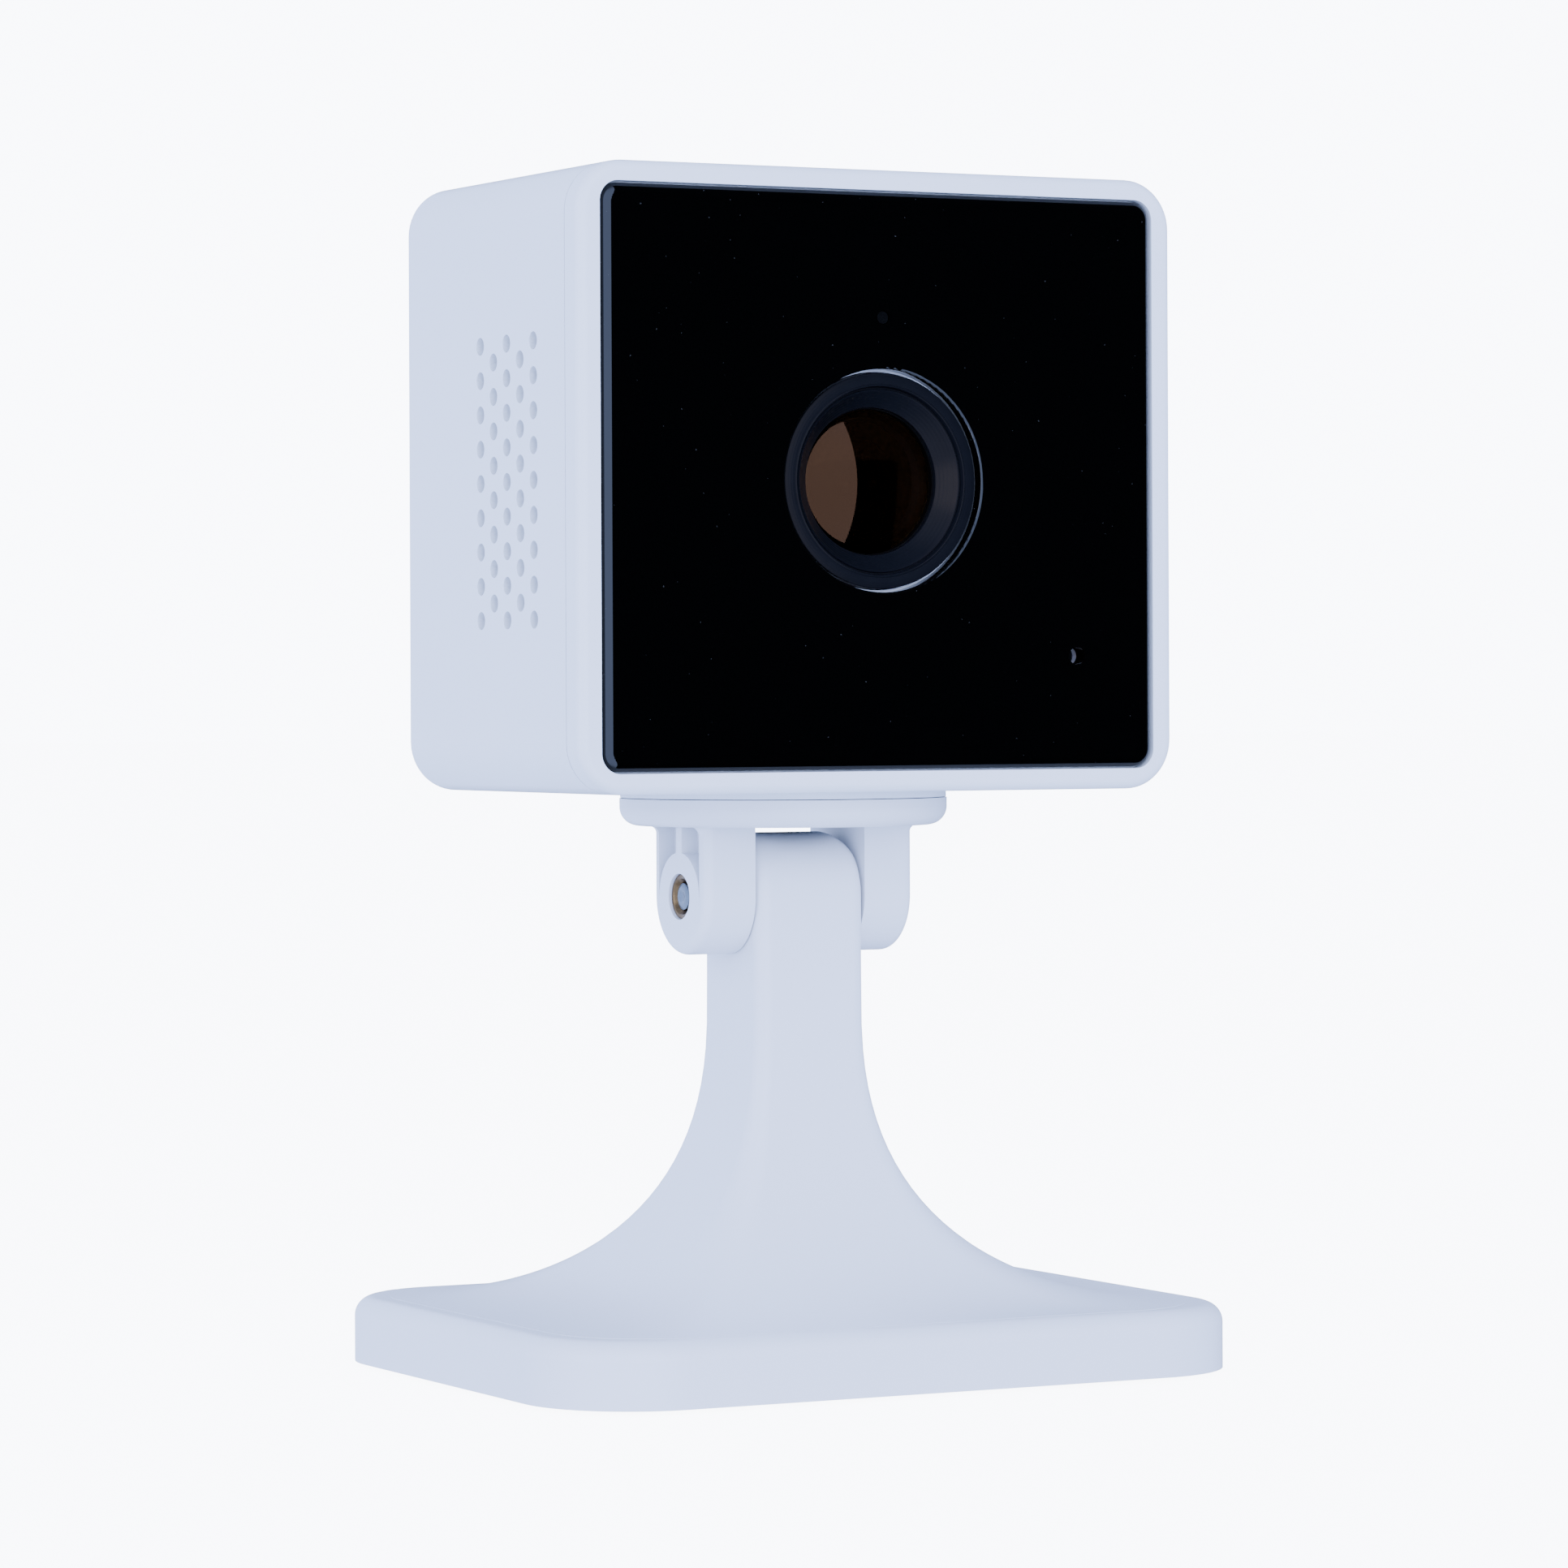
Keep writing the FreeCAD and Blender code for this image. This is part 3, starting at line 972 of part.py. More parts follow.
def neck_head():
    """Top of the neck: a barrel about the tilt axis, with rounded shoulders."""
    half_wide, half_deep = size("neck_wide / 2"), size("neck_deep / 2")
    axis, low = size("tilt_high"), size("tilt_high - neck_run / 2")
    crest = size("tilt_high + neck_deep / 2 + neck_crest")
    shoulder, slant = size("neck_shoulder"), size("neck_shoulder") * math.sqrt(0.5)
    side = [
        Part.makeLine(Vector(0, half_deep, axis), Vector(0, half_deep, low)),
        Part.makeLine(Vector(0, half_deep, low), Vector(0, -half_deep, low)),
        Part.makeLine(Vector(0, -half_deep, low), Vector(0, -half_deep, axis)),
        Part.Arc(Vector(0, -half_deep, axis), Vector(0, 0, axis + half_deep),
                 Vector(0, half_deep, axis)).toShape(),
    ]
    barrel = prism(Part.Wire(side), Vector(2 * half_wide, 0, 0))
    barrel.translate(Vector(-half_wide, 0, 0))
    rim, level = half_wide - shoulder, crest - shoulder
    front = [
        Part.makeLine(Vector(-half_wide, 0, low), Vector(half_wide, 0, low)),
        Part.makeLine(Vector(half_wide, 0, low), Vector(half_wide, 0, level)),
        Part.Arc(Vector(half_wide, 0, level), Vector(rim + slant, 0, level + slant),
                 Vector(rim, 0, crest)).toShape(),
        Part.makeLine(Vector(rim, 0, crest), Vector(-rim, 0, crest)),
        Part.Arc(Vector(-rim, 0, crest), Vector(-rim - slant, 0, level + slant),
                 Vector(-half_wide, 0, level)).toShape(),
        Part.makeLine(Vector(-half_wide, 0, level), Vector(-half_wide, 0, low)),
    ]
    shoulders = prism(Part.Wire(front), Vector(0, 2 * half_deep + 2, 0))
    shoulders.translate(Vector(0, -half_deep - 1, 0))
    top = barrel.common(shoulders).removeSplitter()
    ridges = [edge for edge in top.Edges
              if edge.BoundBox.ZMax > low + 0.1
              and edge.BoundBox.XMax * edge.BoundBox.XMin > 0
              and not is_level_seam(edge, level)]
    return top.makeFillet(size("neck_corner"), ridges)


def is_level_seam(edge, level):
    """Edges across the neck where the shoulder's arc starts are already smooth."""
    spread = edge.BoundBox
    return spread.ZLength < 1e-4 and abs(spread.ZMax - level) < 1e-4


def stand_shell():
    """Foot, flare and neck in one hollow moulding."""
    lowest, band_top = size("band_low"), size("band_top")
    foot = prism(rounded_wire(size("foot_wide / 2"), size("foot_deep / 2"),
                              size("foot_corner"), lowest), Vector(0, 0, size("foot_band")))
    rim = [edge for edge in foot.Edges if edge.BoundBox.ZMin > band_top - 0.01]
    foot = foot.makeFillet(size("foot_round"), rim)
    reach = math.degrees(math.acos((1 - size("flare_reach")) ** (size("flare_power") / 2)))
    sections = flare(0, reach, 0)
    neck_half_x, neck_half_y = size("neck_wide / 2"), size("neck_deep / 2")
    for share in (0.2, 0.6):
        height = size(f"tilt_high - neck_run * {1 - share}")
        sections.append(rounded_wire(neck_half_x, neck_half_y, size("neck_corner"), height))
    body = Part.makeLoft(sections, True, False)
    sink = prism(sections[0], Vector(0, 0, -0.5))
    solid = foot.fuse([sink, body, neck_head()])
    # Hollow from below.
    wall = size("stand_wall")
    well = prism(rounded_wire(size("foot_wide / 2") - wall, size("foot_deep / 2") - wall,
                              size("foot_corner") - wall, lowest - 1),
                 Vector(0, 0, band_top - wall - lowest + 1))
    core_top = math.degrees(math.asin((1 - size("core_top")) ** (size("flare_power") / 2)))
    core_sections = flare(wall, reach, core_top)
    core = Part.makeLoft(core_sections, True, False)
    core_sink = prism(core_sections[0], Vector(0, 0, -0.5))
    solid = solid.cut([well, core_sink, core])
    # Posts for the cover screws, with blind holes.
    for side_x in (-1, 1):
        for side_y in (-1, 1):
            spot = Vector(side_x * size("cover_screw_out"), side_y * size("cover_screw_back"),
                          size("cover_top"))
            post = Part.makeCylinder(size("cover_post_r"), band_top - wall / 2 - spot.z, spot)
            hole = Part.makeCylinder(size("screw_r + screw_gap"), band_top - 1 - spot.z, spot)
            solid = solid.fuse(post).cut(hole)
    # Tilt bore and the seats of the friction washers.
    axis = size("tilt_high")
    across = Vector(1, 0, 0)
    reach_x = neck_half_x + 1
    bore = Part.makeCylinder(size("tilt_screw_r + running"), 2 * reach_x,
                             Vector(-reach_x, 0, axis), across)
    seats = [Part.makeCylinder(size("pad_r + screw_gap"), 2, Vector(start, 0, axis), across)
             for start in (-neck_half_x + size("pad_sunk") - 2, neck_half_x - size("pad_sunk"))]
    solid = solid.cut([bore] + seats).removeSplitter()
    add_shape("stand_shell", solid)


def friction_washers():
    """Two nylon washers in the neck's sides; the ears turn against them."""
    piece = Piece("friction_washers", z="tilt_high")
    for start in ("neck_wide / 2 - pad_sunk", "-neck_wide / 2 + pad_sunk - pad_thick"):
        piece.add("YZ", start, "pad_thick", circle("pad_r"))
    piece.cut("YZ", "-neck_wide", "2 * neck_wide", circle("tilt_screw_r + running"))


def base_cover():
    """Bottom cover with recesses for the feet, screw holes and two keyholes."""
    inset = "stand_wall + slip"
    cover = Piece("base_cover")
    cover.add("XY", "band_low", "bottom_thick",
              rounded_box(f"foot_wide - 2 * ({inset})", f"foot_deep - 2 * ({inset})",
                          f"foot_corner - ({inset})"))
    pads = signs("foot_pad_out", "foot_pad_back")
    screws = signs("cover_screw_out", "cover_screw_back")
    recess = "foot_pad_thick - foot_proud"
    cover.cut("XY", "band_low - 1", f"{recess} + 1",
              *[circle("foot_pad_r + slip", *spot) for spot in pads])
    cover.cut("XY", "0", "cover_top + 1",
              *[circle("screw_r + loose_gap", *spot) for spot in screws])
    cover.cut("XY", "0", "band_low + cover_seat",
              *[circle("screw_head_r + slip", *spot) for spot in screws])
    for side in ("", "-"):
        cover.cut("XY", "0", "cover_top + 1", circle("keyhole_r", f"{side}keyhole_out"))
        cover.cut("XY", "0", "cover_top + 1",
                  rounded_box("keyhole_slot", "keyhole_long", "keyhole_slot / 2 - 0.01",
                              f"{side}keyhole_out", "keyhole_long / 2"))
    feet = Piece("rubber_feet")
    feet.add("XY", "0", "foot_pad_thick", *[circle("foot_pad_r", *spot) for spot in pads])
    feet.round("foot_pad_round", lies_at("z", "0"))
    fasteners = Piece("cover_screws")
    head_low = "band_low + cover_seat - cover_head_high"
    fasteners.add("XY", head_low, "cover_head_high",
                  *[circle("screw_head_r", *spot) for spot in screws])
    fasteners.add("XY", head_low, "band_top - 1.3 - band_low",
                  *[circle("screw_r", *spot) for spot in screws])
    fasteners.cross_recess("XY", "0", "band_low + 0.6", screws)
    ballast = Piece("ballast_plate")
    ballast.add("XY", "cover_top", "ballast_thick",
                rounded_box("ballast_wide", "ballast_deep", "2"))


# --------------------------------------------------------------------------------------
# Build, check and write
# --------------------------------------------------------------------------------------
rear_housing()
front_bezel()
front_panel()
trim_ring()
lens_barrel()
lens_glasses()
lens_mount()
filter_shuttle()
main_board()
board_parts()
inlets()
lamp_board()
speaker()
antenna()
casing_screws()
swivel_clevis()
swivel_hardware()
stand_shell()
friction_washers()
base_cover()
doc.recompute()

for item in doc.Objects:
    if "Invalid" in item.State or "Error" in item.State:
        raise RuntimeError(f"{item.Label} ({item.Name}): {item.State}")
    if item.TypeId == "PartDesign::Pocket":
        if item.Shape.Volume > item.BaseFeature.Shape.Volume - 1e-6:
            raise RuntimeError(f"{item.getParent().Label}: {item.Name} cuts nothing")
os.makedirs("parts", exist_ok=True)
for item in PIECES:
    if item.Shape.isNull() or not item.Shape.isValid():
        raise RuntimeError(item.Label + " has no valid shape")
    item.Shape.exportStep(f"parts/{item.Label}.step")
    print(f"{item.Label:22s} {len(item.Shape.Solids)} solids {item.Shape.Volume:10.1f} mm3")
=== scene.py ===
# %% [markdown]
# # A small indoor security camera
# The camera is a square white head with a gloss black front, on a swivel above a flared
# stand. Its shapes, sizes and joints come ready made as a frame of separate parts, in
# metres, with +Z up and the lens looking along -Y. This lesson gives each part its finish,
# makes the few small pieces that need finer modelling, and sets up a plain studio.

# %% Load the frame
import math

import bmesh
import bpy
from mathutils import Matrix, Vector


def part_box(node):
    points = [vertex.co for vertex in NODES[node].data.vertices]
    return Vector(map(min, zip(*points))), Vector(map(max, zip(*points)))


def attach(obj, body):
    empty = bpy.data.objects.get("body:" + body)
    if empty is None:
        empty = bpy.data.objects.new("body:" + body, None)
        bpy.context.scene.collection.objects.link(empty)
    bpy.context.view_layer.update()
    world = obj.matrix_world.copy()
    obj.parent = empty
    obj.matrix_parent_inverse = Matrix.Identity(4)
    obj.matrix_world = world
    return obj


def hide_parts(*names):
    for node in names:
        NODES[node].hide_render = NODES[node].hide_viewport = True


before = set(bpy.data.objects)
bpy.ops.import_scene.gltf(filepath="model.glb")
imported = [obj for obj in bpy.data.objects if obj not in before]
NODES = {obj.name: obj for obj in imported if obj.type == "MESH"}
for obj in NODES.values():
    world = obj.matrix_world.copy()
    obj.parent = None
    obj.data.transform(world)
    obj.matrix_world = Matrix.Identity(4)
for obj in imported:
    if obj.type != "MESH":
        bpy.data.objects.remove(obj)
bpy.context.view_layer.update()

MM = 0.001
FULL_TURN = 2 * math.pi

# %% [markdown]
# ## Where things are
# The pieces made here are placed from the parts themselves. The lens axis runs
# through the middle of the round trim ring, and the tilt axis through the middle of the
# brass insert in the left ear of the swivel.

# %% Reference points
def middle(node):
    """Centre of a part's box, in the frame."""
    low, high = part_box(node)
    return (low + high) / 2


LENS = middle("lens_trim_ring")
PIVOT = middle("tilt_insert")
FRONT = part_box("front_bezel")[0].y
print("lens axis", tuple(round(v, 5) for v in LENS), " tilt axis z", round(PIVOT.z, 5))

# %% [markdown]
# ## Writing shaders as sums
# A shader that varies over a surface is a little formula, such as "base roughness plus a
# tenth of this noise". Placing Math nodes by hand hides that formula, so a small class
# wraps a node's output and turns Python's own operators into Math nodes.

# %% A wire that can be added and multiplied
class Wire:
    """One output of a node. Arithmetic on it adds Math nodes to its graph."""

    def __init__(self, graph, socket):
        self.graph = graph
        self.socket = socket

    def math(self, operation, first, second=0.0):
        return self.graph.node("ShaderNodeMath", {"operation": operation},
                               {0: first, 1: second})

    def __add__(self, other):
        return self.math("ADD", self, other)

    def __sub__(self, other):
        return self.math("SUBTRACT", self, other)

    def __rsub__(self, other):
        return self.math("SUBTRACT", other, self)

    def __mul__(self, other):
        return self.math("MULTIPLY", self, other)

    def __pow__(self, other):
        return self.math("POWER", self, other)

    def above(self, level):
        return self.math("GREATER_THAN", self, level)

    def sine(self):
        return self.math("SINE", self)

    __radd__ = __add__
    __rmul__ = __mul__


# %% [markdown]
# ## One finish, one object
# A finish is a Principled shader with a few patterns laid over it. The class below makes
# the material, keeps the coordinates of the moulding itself, so that a pattern stays put
# when the head turns, and holds the steps that nearly every finish uses: noise, a blend of
# two colours, and relief. Values that are the same all over are set on the shader itself.

# %% A finish under construction
class Graph:
    """A node tree that is built from Wires."""

    def __init__(self, tree):
        self.tree = tree

    def node(self, kind, settings=None, inputs=None, output=0):
        """Any node: its settings first, then values or Wires on its sockets."""
        made = self.tree.nodes.new(kind)
        for key, value in (settings or {}).items():
            setattr(made, key, value)
        for socket, value in (inputs or {}).items():
            if isinstance(value, Wire):
                self.tree.links.new(value.socket, made.inputs[socket])
            else:
                made.inputs[socket].default_value = value
        return Wire(self, made.outputs[output])

    def axis(self, vector, letter):
        """One coordinate of a vector: X, Y or Z."""
        return self.node("ShaderNodeSeparateXYZ", {}, {0: vector}, output=letter)

    def blend(self, share, first, second):
        """A colour between two colours."""
        return self.node("ShaderNodeMix", {"data_type": "RGBA"},
                         {"Factor": share, 6: (*first, 1), 7: (*second, 1)}, output=2)


class Finish(Graph):
    """A Principled material whose varying inputs are built from Wires."""

    def __init__(self, name, color, roughness, **uniform):
        self.material = bpy.data.materials.new(name)
        self.material.use_nodes = True
        super().__init__(self.material.node_tree)
        self.shader = self.tree.nodes["Principled BSDF"]
        self.shader.inputs["Base Color"].default_value = (*color, 1)
        self.shader.inputs["Roughness"].default_value = roughness
        for socket, value in uniform.items():
            self.shader.inputs[socket.replace("_", " ")].default_value = value
        self.relief = None
        self.place = self.node("ShaderNodeTexCoord", output="Object")

    def noise(self, grain, detail=2.0, stretch=(1, 1, 1)):
        """Noise from 0 to 1 whose blotches are about one grain across, in metres."""
        spread = self.node("ShaderNodeVectorMath", {"operation": "MULTIPLY"},
                           {0: self.place, 1: stretch})
        return self.node("ShaderNodeTexNoise", {},
                         {"Vector": spread, "Scale": 1 / grain, "Detail": detail})

    def feed(self, socket, wire):
        self.tree.links.new(wire.socket, self.shader.inputs[socket])
        return self

    def emboss(self, height, depth, strength=1.0):
        """Raise the surface by height times depth, on top of earlier relief."""
        inputs = {"Height": height, "Distance": depth, "Strength": strength}
        if self.relief:
            inputs["Normal"] = self.relief
        self.relief = self.node("ShaderNodeBump", {}, inputs)
        return self.feed("Normal", self.relief)

    def paint(self, *nodes):
        """Give this finish to frame parts, by name."""
        for name in nodes:
            slots = NODES[name].data.materials
            slots.clear()
            slots.append(self.material)
        return self


# %% [markdown]
# ## White moulding
# The casing, the swivel and the stand are satin ABS. The steel mould is spark eroded, which
# leaves a texture of tiny craters about a tenth of a millimetre across, and that is what
# keeps the shine soft. A second, much longer wave is the slight sink that every thin wall
# has. The white is cool, and varies by less than one percent from place to place.

# %% Satin white plastic
def satin_white(name, color, roughness, craters=0.1 * MM):
    white = Finish(name, color, roughness, IOR=1.5, Subsurface_Weight=0.06,
                   Subsurface_Scale=0.6 * MM)
    white.shader.inputs["Subsurface Radius"].default_value = (1.0, 0.9, 0.8)
    cloudy = white.noise(14 * MM, 3)
    darker = tuple(part * 0.975 for part in color)
    white.feed("Base Color", white.blend(cloudy, darker, color))
    grain = white.noise(craters, 3)
    white.feed("Roughness", roughness - 0.05 + 0.06 * grain + 0.05 * cloudy)
    white.emboss(white.noise(9 * MM, 1), 0.02 * MM, 0.6)
    return white.emboss(grain, 0.006 * MM, 0.7)


satin_white("white_head", (0.70, 0.72, 0.75), 0.38).paint("rear_housing", "front_bezel")
satin_white("white_stand", (0.70, 0.71, 0.74), 0.40).paint("stand_shell", "swivel_clevis")
satin_white("white_cover", (0.66, 0.67, 0.69), 0.50, 0.16 * MM).paint("base_cover")
satin_white("white_button", (0.70, 0.72, 0.74), 0.35).paint("reset_button")
print("white mouldings finished")

# %% [markdown]
# ## Gloss black front
# The front is a sheet of black acrylic that lets infrared light through. It is polished, so
# it shows the room as a mirror does, but only four percent of it. Two faint things give its
# scale away: a long wipe mark that changes the shine a little, and a few specks of dust.

# %% Polished black acrylic
def gloss_black(name, roughness=0.035):
    black = Finish(name, (0.0005, 0.0005, 0.0005), roughness, IOR=1.49)
    wipe = black.noise(6 * MM, 2, (0.25, 1, 1))
    specks = black.noise(0.35 * MM, 1).above(0.79)
    black.feed("Base Color", black.blend(specks, (0.0005, 0.0005, 0.0005), (0.02, 0.02, 0.02)))
    black.feed("Roughness", roughness + 0.03 * wipe ** 2 + 0.25 * specks)
    return black.emboss(black.noise(22 * MM, 1), 0.01 * MM, 0.25)


gloss_black("black_front").paint("front_panel")

# %% [markdown]
# ## Dark moulding and black metal
# The ring round the lens is a blue-black moulding, semi-matt so that it doesn't flare into
# the lens. The barrel is turned aluminium, anodised black: the cutting tool leaves fine
# rings about the lens axis. The rings are a sine of the distance from that axis.

# %% Rings about the lens axis
def turned_rings(finish, pitch):
    """A wave from -1 to 1 that runs outwards from the lens axis."""
    steps = {"operation": "SUBTRACT"}
    off_axis = finish.node("ShaderNodeVectorMath", steps, {0: finish.place, 1: LENS})
    flat = finish.node("ShaderNodeVectorMath", {"operation": "MULTIPLY"},
                       {0: off_axis, 1: (1, 0, 1)})
    length = finish.node("ShaderNodeVectorMath", {"operation": "LENGTH"}, {0: flat},
                         output="Value")
    return (length * (FULL_TURN / pitch)).sine()


def dark_ring(name, color, roughness, pitch, depth, **uniform):
    dark = Finish(name, color, roughness, **uniform)
    mottle = dark.noise(1.5 * MM, 3)
    lighter = tuple(part * 1.25 for part in color)
    dark.feed("Base Color", dark.blend(mottle, color, lighter))
    dark.feed("Roughness", roughness - 0.04 + 0.08 * mottle)
    dark.emboss(turned_rings(dark, pitch), depth, 0.5)
    return dark.emboss(dark.noise(0.08 * MM), 0.003 * MM, 0.5)


RING = dark_ring("blue_black_ring", (0.0035, 0.004, 0.0055), 0.30, 0.25 * MM, 0.004 * MM,
                 Specular_IOR_Level=0.09, Specular_Tint=(1.0, 0.74, 0.50, 1))
RING.paint("lens_trim_ring", "lens_holder")
BARREL = dark_ring("anodised_black", (0.0015, 0.0015, 0.0015), 0.34, 0.12 * MM, 0.006 * MM,
                   Specular_IOR_Level=0.05)
BARREL.paint("lens_barrel", "lens_lock_ring", "aperture_plate")
print("lens rings finished")

# %% [markdown]
# ## Coated glass
# A lens is coated in layers that cancel most of its reflection. What is left has a colour,
# here a warm amber on the front glass and a green on the glasses behind it. The tint of
# the reflection is one value for the whole glass, so it sits on the shader itself. The
# front glass has a dark body, so that its back face adds no second reflection of the room.
# Fine dust and polishing haze vary the roughness very slightly.

# %% Lens glass and filter glass
def coated_glass(name, tint, reflection, bend, roughness=0.02):
    glass = Finish(name, tint, roughness, IOR=bend, Transmission_Weight=1.0)
    glass.shader.inputs["Specular Tint"].default_value = (*reflection, 1)
    haze = glass.noise(2.5 * MM, 3)
    return glass.feed("Roughness", roughness + 0.02 * haze)


coated_glass("amber_coated_glass", (0.012, 0.011, 0.010), (1.0, 0.46, 0.20),
             1.5).paint("front_lens")
INNER_GLASS = coated_glass("inner_coated_glass", (0.75, 0.80, 0.78), (1.0, 0.75, 0.55), 1.5)
INNER_GLASS.paint("middle_lens", "rear_lens")
coated_glass("cut_glass", (0.55, 0.80, 0.85), (1.0, 0.35, 0.35),
             1.5).paint("infrared_cut_glass")
coated_glass("plain_glass", (0.92, 0.94, 0.94), (0.8, 0.9, 1.0), 1.5).paint("clear_glass")

# %% [markdown]
# ## Metals
# Screws and sheet parts are zinc plated: a dull blue-grey, blotchy at the scale of a
# millimetre, with fine drawing lines. The brass insert is turned, and has gone a little
# brown in blotches. Both use one function with a base colour and a tarnish colour.

# %% Plated steel, brass and aluminium
def bare_metal(name, color, tarnish, roughness, grain=0.05 * MM, stretch=(1, 1, 1)):
    metal = Finish(name, color, roughness, Metallic=1.0)
    blotch = metal.noise(0.9 * MM, 4)
    metal.feed("Base Color", metal.blend(blotch ** 2, color, tarnish))
    lines = metal.noise(grain, 2, stretch)
    metal.feed("Roughness", roughness - 0.06 + 0.12 * lines + 0.1 * blotch)
    return metal.emboss(lines, 0.004 * MM, 0.6)


STEEL = bare_metal("zinc_plate", (0.16, 0.19, 0.22), (0.08, 0.09, 0.10), 0.24)
STEEL.paint("tilt_screw", "bezel_screws", "board_screws", "lamp_board_screws",
            "tilt_spring_washer", "pan_screw", "pan_washer", "cover_screws", "ballast_plate",
            "power_socket", "radio_module")
BRASS = bare_metal("turned_brass", (0.16, 0.10, 0.045), (0.04, 0.025, 0.012), 0.22,
                   0.04 * MM, (0.2, 1, 1))
bare_metal("extruded_aluminium", (0.78, 0.79, 0.80), (0.6, 0.6, 0.61), 0.34,
           0.06 * MM, (1, 1, 0.1)).paint("heat_spreader")
bare_metal("nickel", (0.55, 0.54, 0.52), (0.4, 0.39, 0.37), 0.3).paint("speaker_magnet")
bare_metal("copper_wire", (0.70, 0.34, 0.18), (0.4, 0.18, 0.1), 0.3,
           0.1 * MM, (0.1, 1, 1)).paint("filter_coil")
print("metals finished")

# %% [markdown]
# ## Rubber, nylon, film, cloth and boards
# These are matt or satin finishes that differ only in colour, roughness and the size of
# their texture, so they share one function.

# %% Plain finishes
def plain(name, color, second, roughness, grain, depth, **uniform):
    finish = Finish(name, color, roughness, **uniform)
    patches = finish.noise(3 * MM, 3)
    finish.feed("Base Color", finish.blend(patches, color, second))
    tooth = finish.noise(grain, 3)
    finish.feed("Roughness", roughness - 0.05 + 0.1 * tooth)
    return finish.emboss(tooth, depth, 0.8)


plain("soft_rubber", (0.035, 0.035, 0.036), (0.06, 0.06, 0.06), 0.75, 0.12 * MM,
      0.01 * MM).paint("rubber_feet")
plain("gasket_foam", (0.004, 0.004, 0.004), (0.006, 0.006, 0.006), 0.9, 0.2 * MM,
      0.02 * MM, Specular_IOR_Level=0.1).paint("microphone_gasket")
plain("natural_nylon", (0.72, 0.70, 0.64), (0.66, 0.64, 0.58), 0.45, 0.1 * MM,
      0.005 * MM).paint("friction_washers")
plain("printed_film", (0.03, 0.03, 0.032), (0.045, 0.045, 0.045), 0.4, 0.2 * MM,
      0.004 * MM).paint("antenna_strip")
plain("pressed_film", (0.07, 0.07, 0.075), (0.05, 0.05, 0.05), 0.5, 0.15 * MM,
      0.006 * MM).paint("speaker_cone")
plain("satin_black", (0.022, 0.022, 0.023), (0.03, 0.03, 0.03), 0.45, 0.1 * MM,
      0.005 * MM).paint("filter_shuttle", "reset_switch", "speaker_frame", "card_socket")
plain("capsule_felt", (0.004, 0.004, 0.004), (0.006, 0.006, 0.006), 0.9, 0.1 * MM,
      0.01 * MM, Specular_IOR_Level=0.1).paint("microphone")
plain("moulded_epoxy", (0.018, 0.018, 0.019), (0.026, 0.026, 0.027), 0.55, 0.06 * MM,
      0.004 * MM).paint("processor", "memory_chip", "image_sensor", "light_sensor")
plain("solder_resist", (0.010, 0.085, 0.040), (0.008, 0.060, 0.030), 0.28, 0.5 * MM,
      0.010 * MM).paint("main_board", "lamp_board")
plain("clear_epoxy", (0.30, 0.29, 0.28), (0.26, 0.26, 0.26), 0.12, 0.4 * MM,
      0.003 * MM).paint("infrared_lamps", "status_lamp")
# The light pipe is coloured nearly black as painted shade: it stands for the dark inside of
# the small status hole.
plain("light_pipe_painted_shade", (0.002, 0.002, 0.0022), (0.003, 0.003, 0.003), 0.12, 0.2 * MM,
      0.002 * MM).paint("status_light_pipe")

# %% [markdown]
# ## Acoustic cloth
# A thin cloth behind the grille keeps dust off the speaker. It is a plain weave, so its
# pattern is two sines at right angles, each as long as one thread is wide.

# %% Acoustic cloth
def acoustic_cloth(name, thread=0.22 * MM):
    cloth = Finish(name, (0.50, 0.45, 0.38), 0.8, Sheen_Weight=0.3)
    warp = (cloth.axis(cloth.place, "Y") * (FULL_TURN / thread)).sine()
    weft = (cloth.axis(cloth.place, "Z") * (FULL_TURN / thread)).sine()
    weave = warp * weft * 0.5 + 0.5
    cloth.feed("Base Color", cloth.blend(weave, (0.55, 0.48, 0.40), (0.80, 0.72, 0.62)))
    return cloth.emboss(weave, 0.05 * MM, 0.8)


acoustic_cloth("acoustic_cloth").paint("speaker_cloth")
print("plain finishes and cloth done")

# %% [markdown]
# ## Small turned pieces
# The hinge shows a screw's end inside a brass insert. At this size a plain cylinder looks
# wrong: the insert and the screw both need their chamfers. Anything turned can be made by
# spinning a profile, a list of (along, radius) pairs, about an axis. A profile that joins
# its own start makes a ring with an open bore.

# %% Spin a profile about an axis
SHARP_ABOVE = 32  # degrees between two faces


def spin(name, profile, centre, axis, steps=96, closed=False):
    """Mesh of a profile turned about an axis. A closed profile joins its own start."""
    along = Vector(axis).normalized()
    side = along.orthogonal().normalized()
    across = along.cross(side)
    mesh = bmesh.new()
    rings = []
    for distance, radius in profile:
        ring = []
        for step in range(steps):
            turn = FULL_TURN * step / steps
            spoke = side * math.cos(turn) + across * math.sin(turn)
            ring.append(mesh.verts.new(Vector(centre) + along * distance + spoke * radius))
        rings.append(ring)
    if closed:
        rings.append(rings[0])
    for ring, following in zip(rings, rings[1:]):
        for step in range(steps):
            after = (step + 1) % steps
            mesh.faces.new((ring[step], ring[after], following[after], following[step]))
    return finish_mesh(name, mesh, rings)


def finish_mesh(name, mesh, rings):
    """Close the ends, face the surface outwards and smooth it."""
    first, last = rings[0], rings[-1]
    if first is not last:
        mesh.faces.new(list(reversed(first)))
        mesh.faces.new(last)
    bmesh.ops.recalc_face_normals(mesh, faces=mesh.faces)
    data = bpy.data.meshes.new(name)
    mesh.to_mesh(data)
    mesh.free()
    piece = bpy.data.objects.new(name, data)
    bpy.context.scene.collection.objects.link(piece)
    data.shade_smooth()
    data.set_sharp_from_angle(angle=math.radians(SHARP_ABOVE))
    return piece


